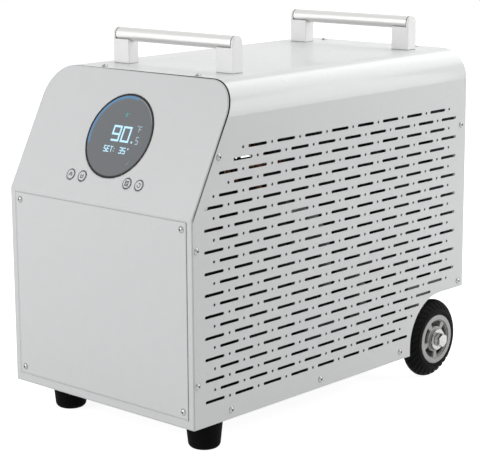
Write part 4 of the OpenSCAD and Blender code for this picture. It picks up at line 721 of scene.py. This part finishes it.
def core_points():
    """The block's outline, seen from above, carried up from its lower to its upper plate.

    Column u runs along the front and back along the rear. Each fin pitch has four points: two on
    the face and two at the fin depth. Row v is the height; at the plates the depth is nought.
    """
    pitch = 2 * CORE_X / FIN_COUNT
    start = (np.arange(FIN_COUNT) * pitch - CORE_X)[:, None]
    x = (start + np.array([0, 0.25, 0.25, 1.0])[None, :] * pitch).ravel()
    dent = np.tile([0, 0, 1, 1], FIN_COUNT)
    dent[-1] = 0
    x = np.r_[x, x[::-1]]
    front = np.r_[np.zeros(4 * FIN_COUNT), np.ones(4 * FIN_COUNT)]
    dent = np.r_[dent, dent[::-1]]
    low, high = CORE_Z
    height = np.array([low, low + PLATE, low + PLATE, high - PLATE, high - PLATE, high])[:, None]
    depth = np.array([0, 0, 1, 1, 0, 0])[:, None] * dent[None, :] * FIN_DEPTH
    y = CORE_Y + front * CORE_T + np.where(front > 0, -1, 1) * depth
    return np.stack([x + 0 * height, y + FRONT, height + FLOOR + 0 * x], -1) / 1000


stub = [(0, -4), (7, -4), (7, 2), (3.75, 2), (3.75, 10), (0, 10)]
stubs = [(turned(stub, -110, CORE_Y + FRONT, FLOOR + z, -1, 24), False, True) for z in (183, 420)]
block = (closed_ends(core_points()), False, True)
core = welded("condenser_fins", [block] + stubs, fin_stock, "casing")
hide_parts("condenser_core")


# Cooling pieces inside
#
# Compressor can and fan guard in black paint; foam-covered heat exchanger; drawn copper pipes;
# grey hoses; moulded pump and fittings.

black_paint = finish("black_paint", (0.012, 0.012, 0.013), (0.02, 0.02, 0.021), 0.35, 0.2, 500.0, wear=0.3,
                     worn=(0.1, 0.1, 0.1), dusty=0.1)
dress(black_paint, "compressor", "fan_motor", "fan_guard")
foam = finish("foam_shell", (0.012, 0.012, 0.013), (0.022, 0.022, 0.023), 0.7, 0.2, 900.0, depth=0.0002,
              dusty=0.1)
dress(foam, "heat_exchanger", "fan_shroud")
# Painted shade in the joints and recesses of the pump and fittings.
moulding = finish("moulded_grey", (0.05, 0.05, 0.055), (0.07, 0.07, 0.075), 0.45, 0.2, 600.0, depth=0.00006,
                  radius=0.0006, wear=0.2, shade_in_recesses=0.6)
dress(moulding, "pump_housing", "pump_impeller", "water_inlet", "water_outlet", "fitting_nuts", "power_inlet",
      "rocker_frame")
motor_paint = finish("motor_paint", (0.05, 0.065, 0.085), (0.04, 0.05, 0.07), 0.4, 0.2, 600.0, wear=0.3)
dress(motor_paint, "pump_motor")
copper = finish("drawn_copper", (0.3, 0.14, 0.08), (0.2, 0.1, 0.06), 0.35, 0.2, 200.0, wear=0.3, Metallic=1.0)
dress(copper, "gas_pipes", "filter_drier")
hose = finish("hose_wall", (0.6, 0.61, 0.62), (0.54, 0.55, 0.56), 0.4, 0.1, 600.0)
dress(hose, "water_hoses")
red = finish("rocker_red", (0.4, 0.01, 0.01), (0.34, 0.01, 0.01), 0.25, 0.1, 500.0, radius=0.0006)
dress(red, "rocker")


# Floor, light and camera
#
# A pale floor and a white room, three soft lamps, and the camera at the photograph's place.

def stage_material(name, shade, lift):
    """White for the camera, less light for all other rays: a mix by Light Path, with the shadow kept."""
    made = bpy.data.materials.new(name)
    made.use_nodes = True
    tree = made.node_tree
    tree.nodes.clear()
    put = putter(tree)
    path = put("ShaderNodeLightPath").outputs
    seen = math(put, "MAXIMUM", path["Is Camera Ray"], math(put, "MAXIMUM", path["Is Glossy Ray"],
                                                            path["Is Transmission Ray"]))
    plain = put("ShaderNodeBsdfDiffuse", {"Color": (shade, shade, shade, 1)}).outputs[0]
    white = put("ShaderNodeEmission", {"Color": (1, 1, 1, 1), "Strength": lift}).outputs[0]
    lifted = put("ShaderNodeAddShader", {0: plain, 1: white}).outputs[0]
    shown = put("ShaderNodeMixShader", {0: seen, 1: plain, 2: lifted}).outputs[0]
    put("ShaderNodeOutputMaterial", {"Surface": shown})
    return made


floor_mesh = bpy.data.meshes.new("floor")
reach = 6.0
floor_mesh.from_pydata([(-reach, -reach, 0), (reach, -reach, 0), (reach, reach, 0), (-reach, reach, 0)], [],
                       [(0, 1, 2, 3)])
floor = bpy.data.objects.new("floor", floor_mesh)
bpy.context.scene.collection.objects.link(floor)
floor_mesh.materials.append(stage_material("floor_paper", 0.55, 0.9))
floor.location.z = -0.0005

world = bpy.data.worlds.new("room")
bpy.context.scene.world = world
world.use_nodes = True
world.node_tree.nodes.clear()
put = putter(world.node_tree)
path = put("ShaderNodeLightPath").outputs
seen = math(put, "MAXIMUM", path["Is Camera Ray"], math(put, "MAXIMUM", path["Is Glossy Ray"],
                                                        path["Is Transmission Ray"]))
strength = put("ShaderNodeMapRange", {"Value": seen, "To Min": 0.48, "To Max": 1.0}).outputs["Result"]
sky = put("ShaderNodeBackground", {"Color": (1, 1, 1, 1), "Strength": strength})
put("ShaderNodeOutputWorld", {"Surface": sky.outputs[0]})


def lamp(name, place, size, power):
    """A soft square lamp that looks at the middle of the casing."""
    light = bpy.data.lights.new(name, "AREA")
    light.size = size
    light.energy = power
    made = bpy.data.objects.new(name, light)
    bpy.context.scene.collection.objects.link(made)
    made.location = place
    made.rotation_euler = (Vector((0, 0, 0.3)) - Vector(place)).to_track_quat("-Z", "Y").to_euler()


lamp("overhead", (0.3, 1.7, 2.6), 2.6, 42)
lamp("front_fill", (-0.9, -2.7, 1.2), 2.0, 38)
lamp("side_fill", (1.6, 1.3, 0.9), 1.2, 13)

lens = bpy.data.cameras.new("camera")
lens.lens = 126.644
lens.sensor_width = 36.0
lens.shift_x = 0.0729
camera = bpy.data.objects.new("camera", lens)
bpy.context.scene.collection.objects.link(camera)
camera.location = (1.72156, -1.91307, 0.80018)
camera.rotation_euler = (1.361285, 0.010337, 0.759776)
bpy.context.scene.camera = camera
bpy.context.scene.view_settings.view_transform = "Standard"
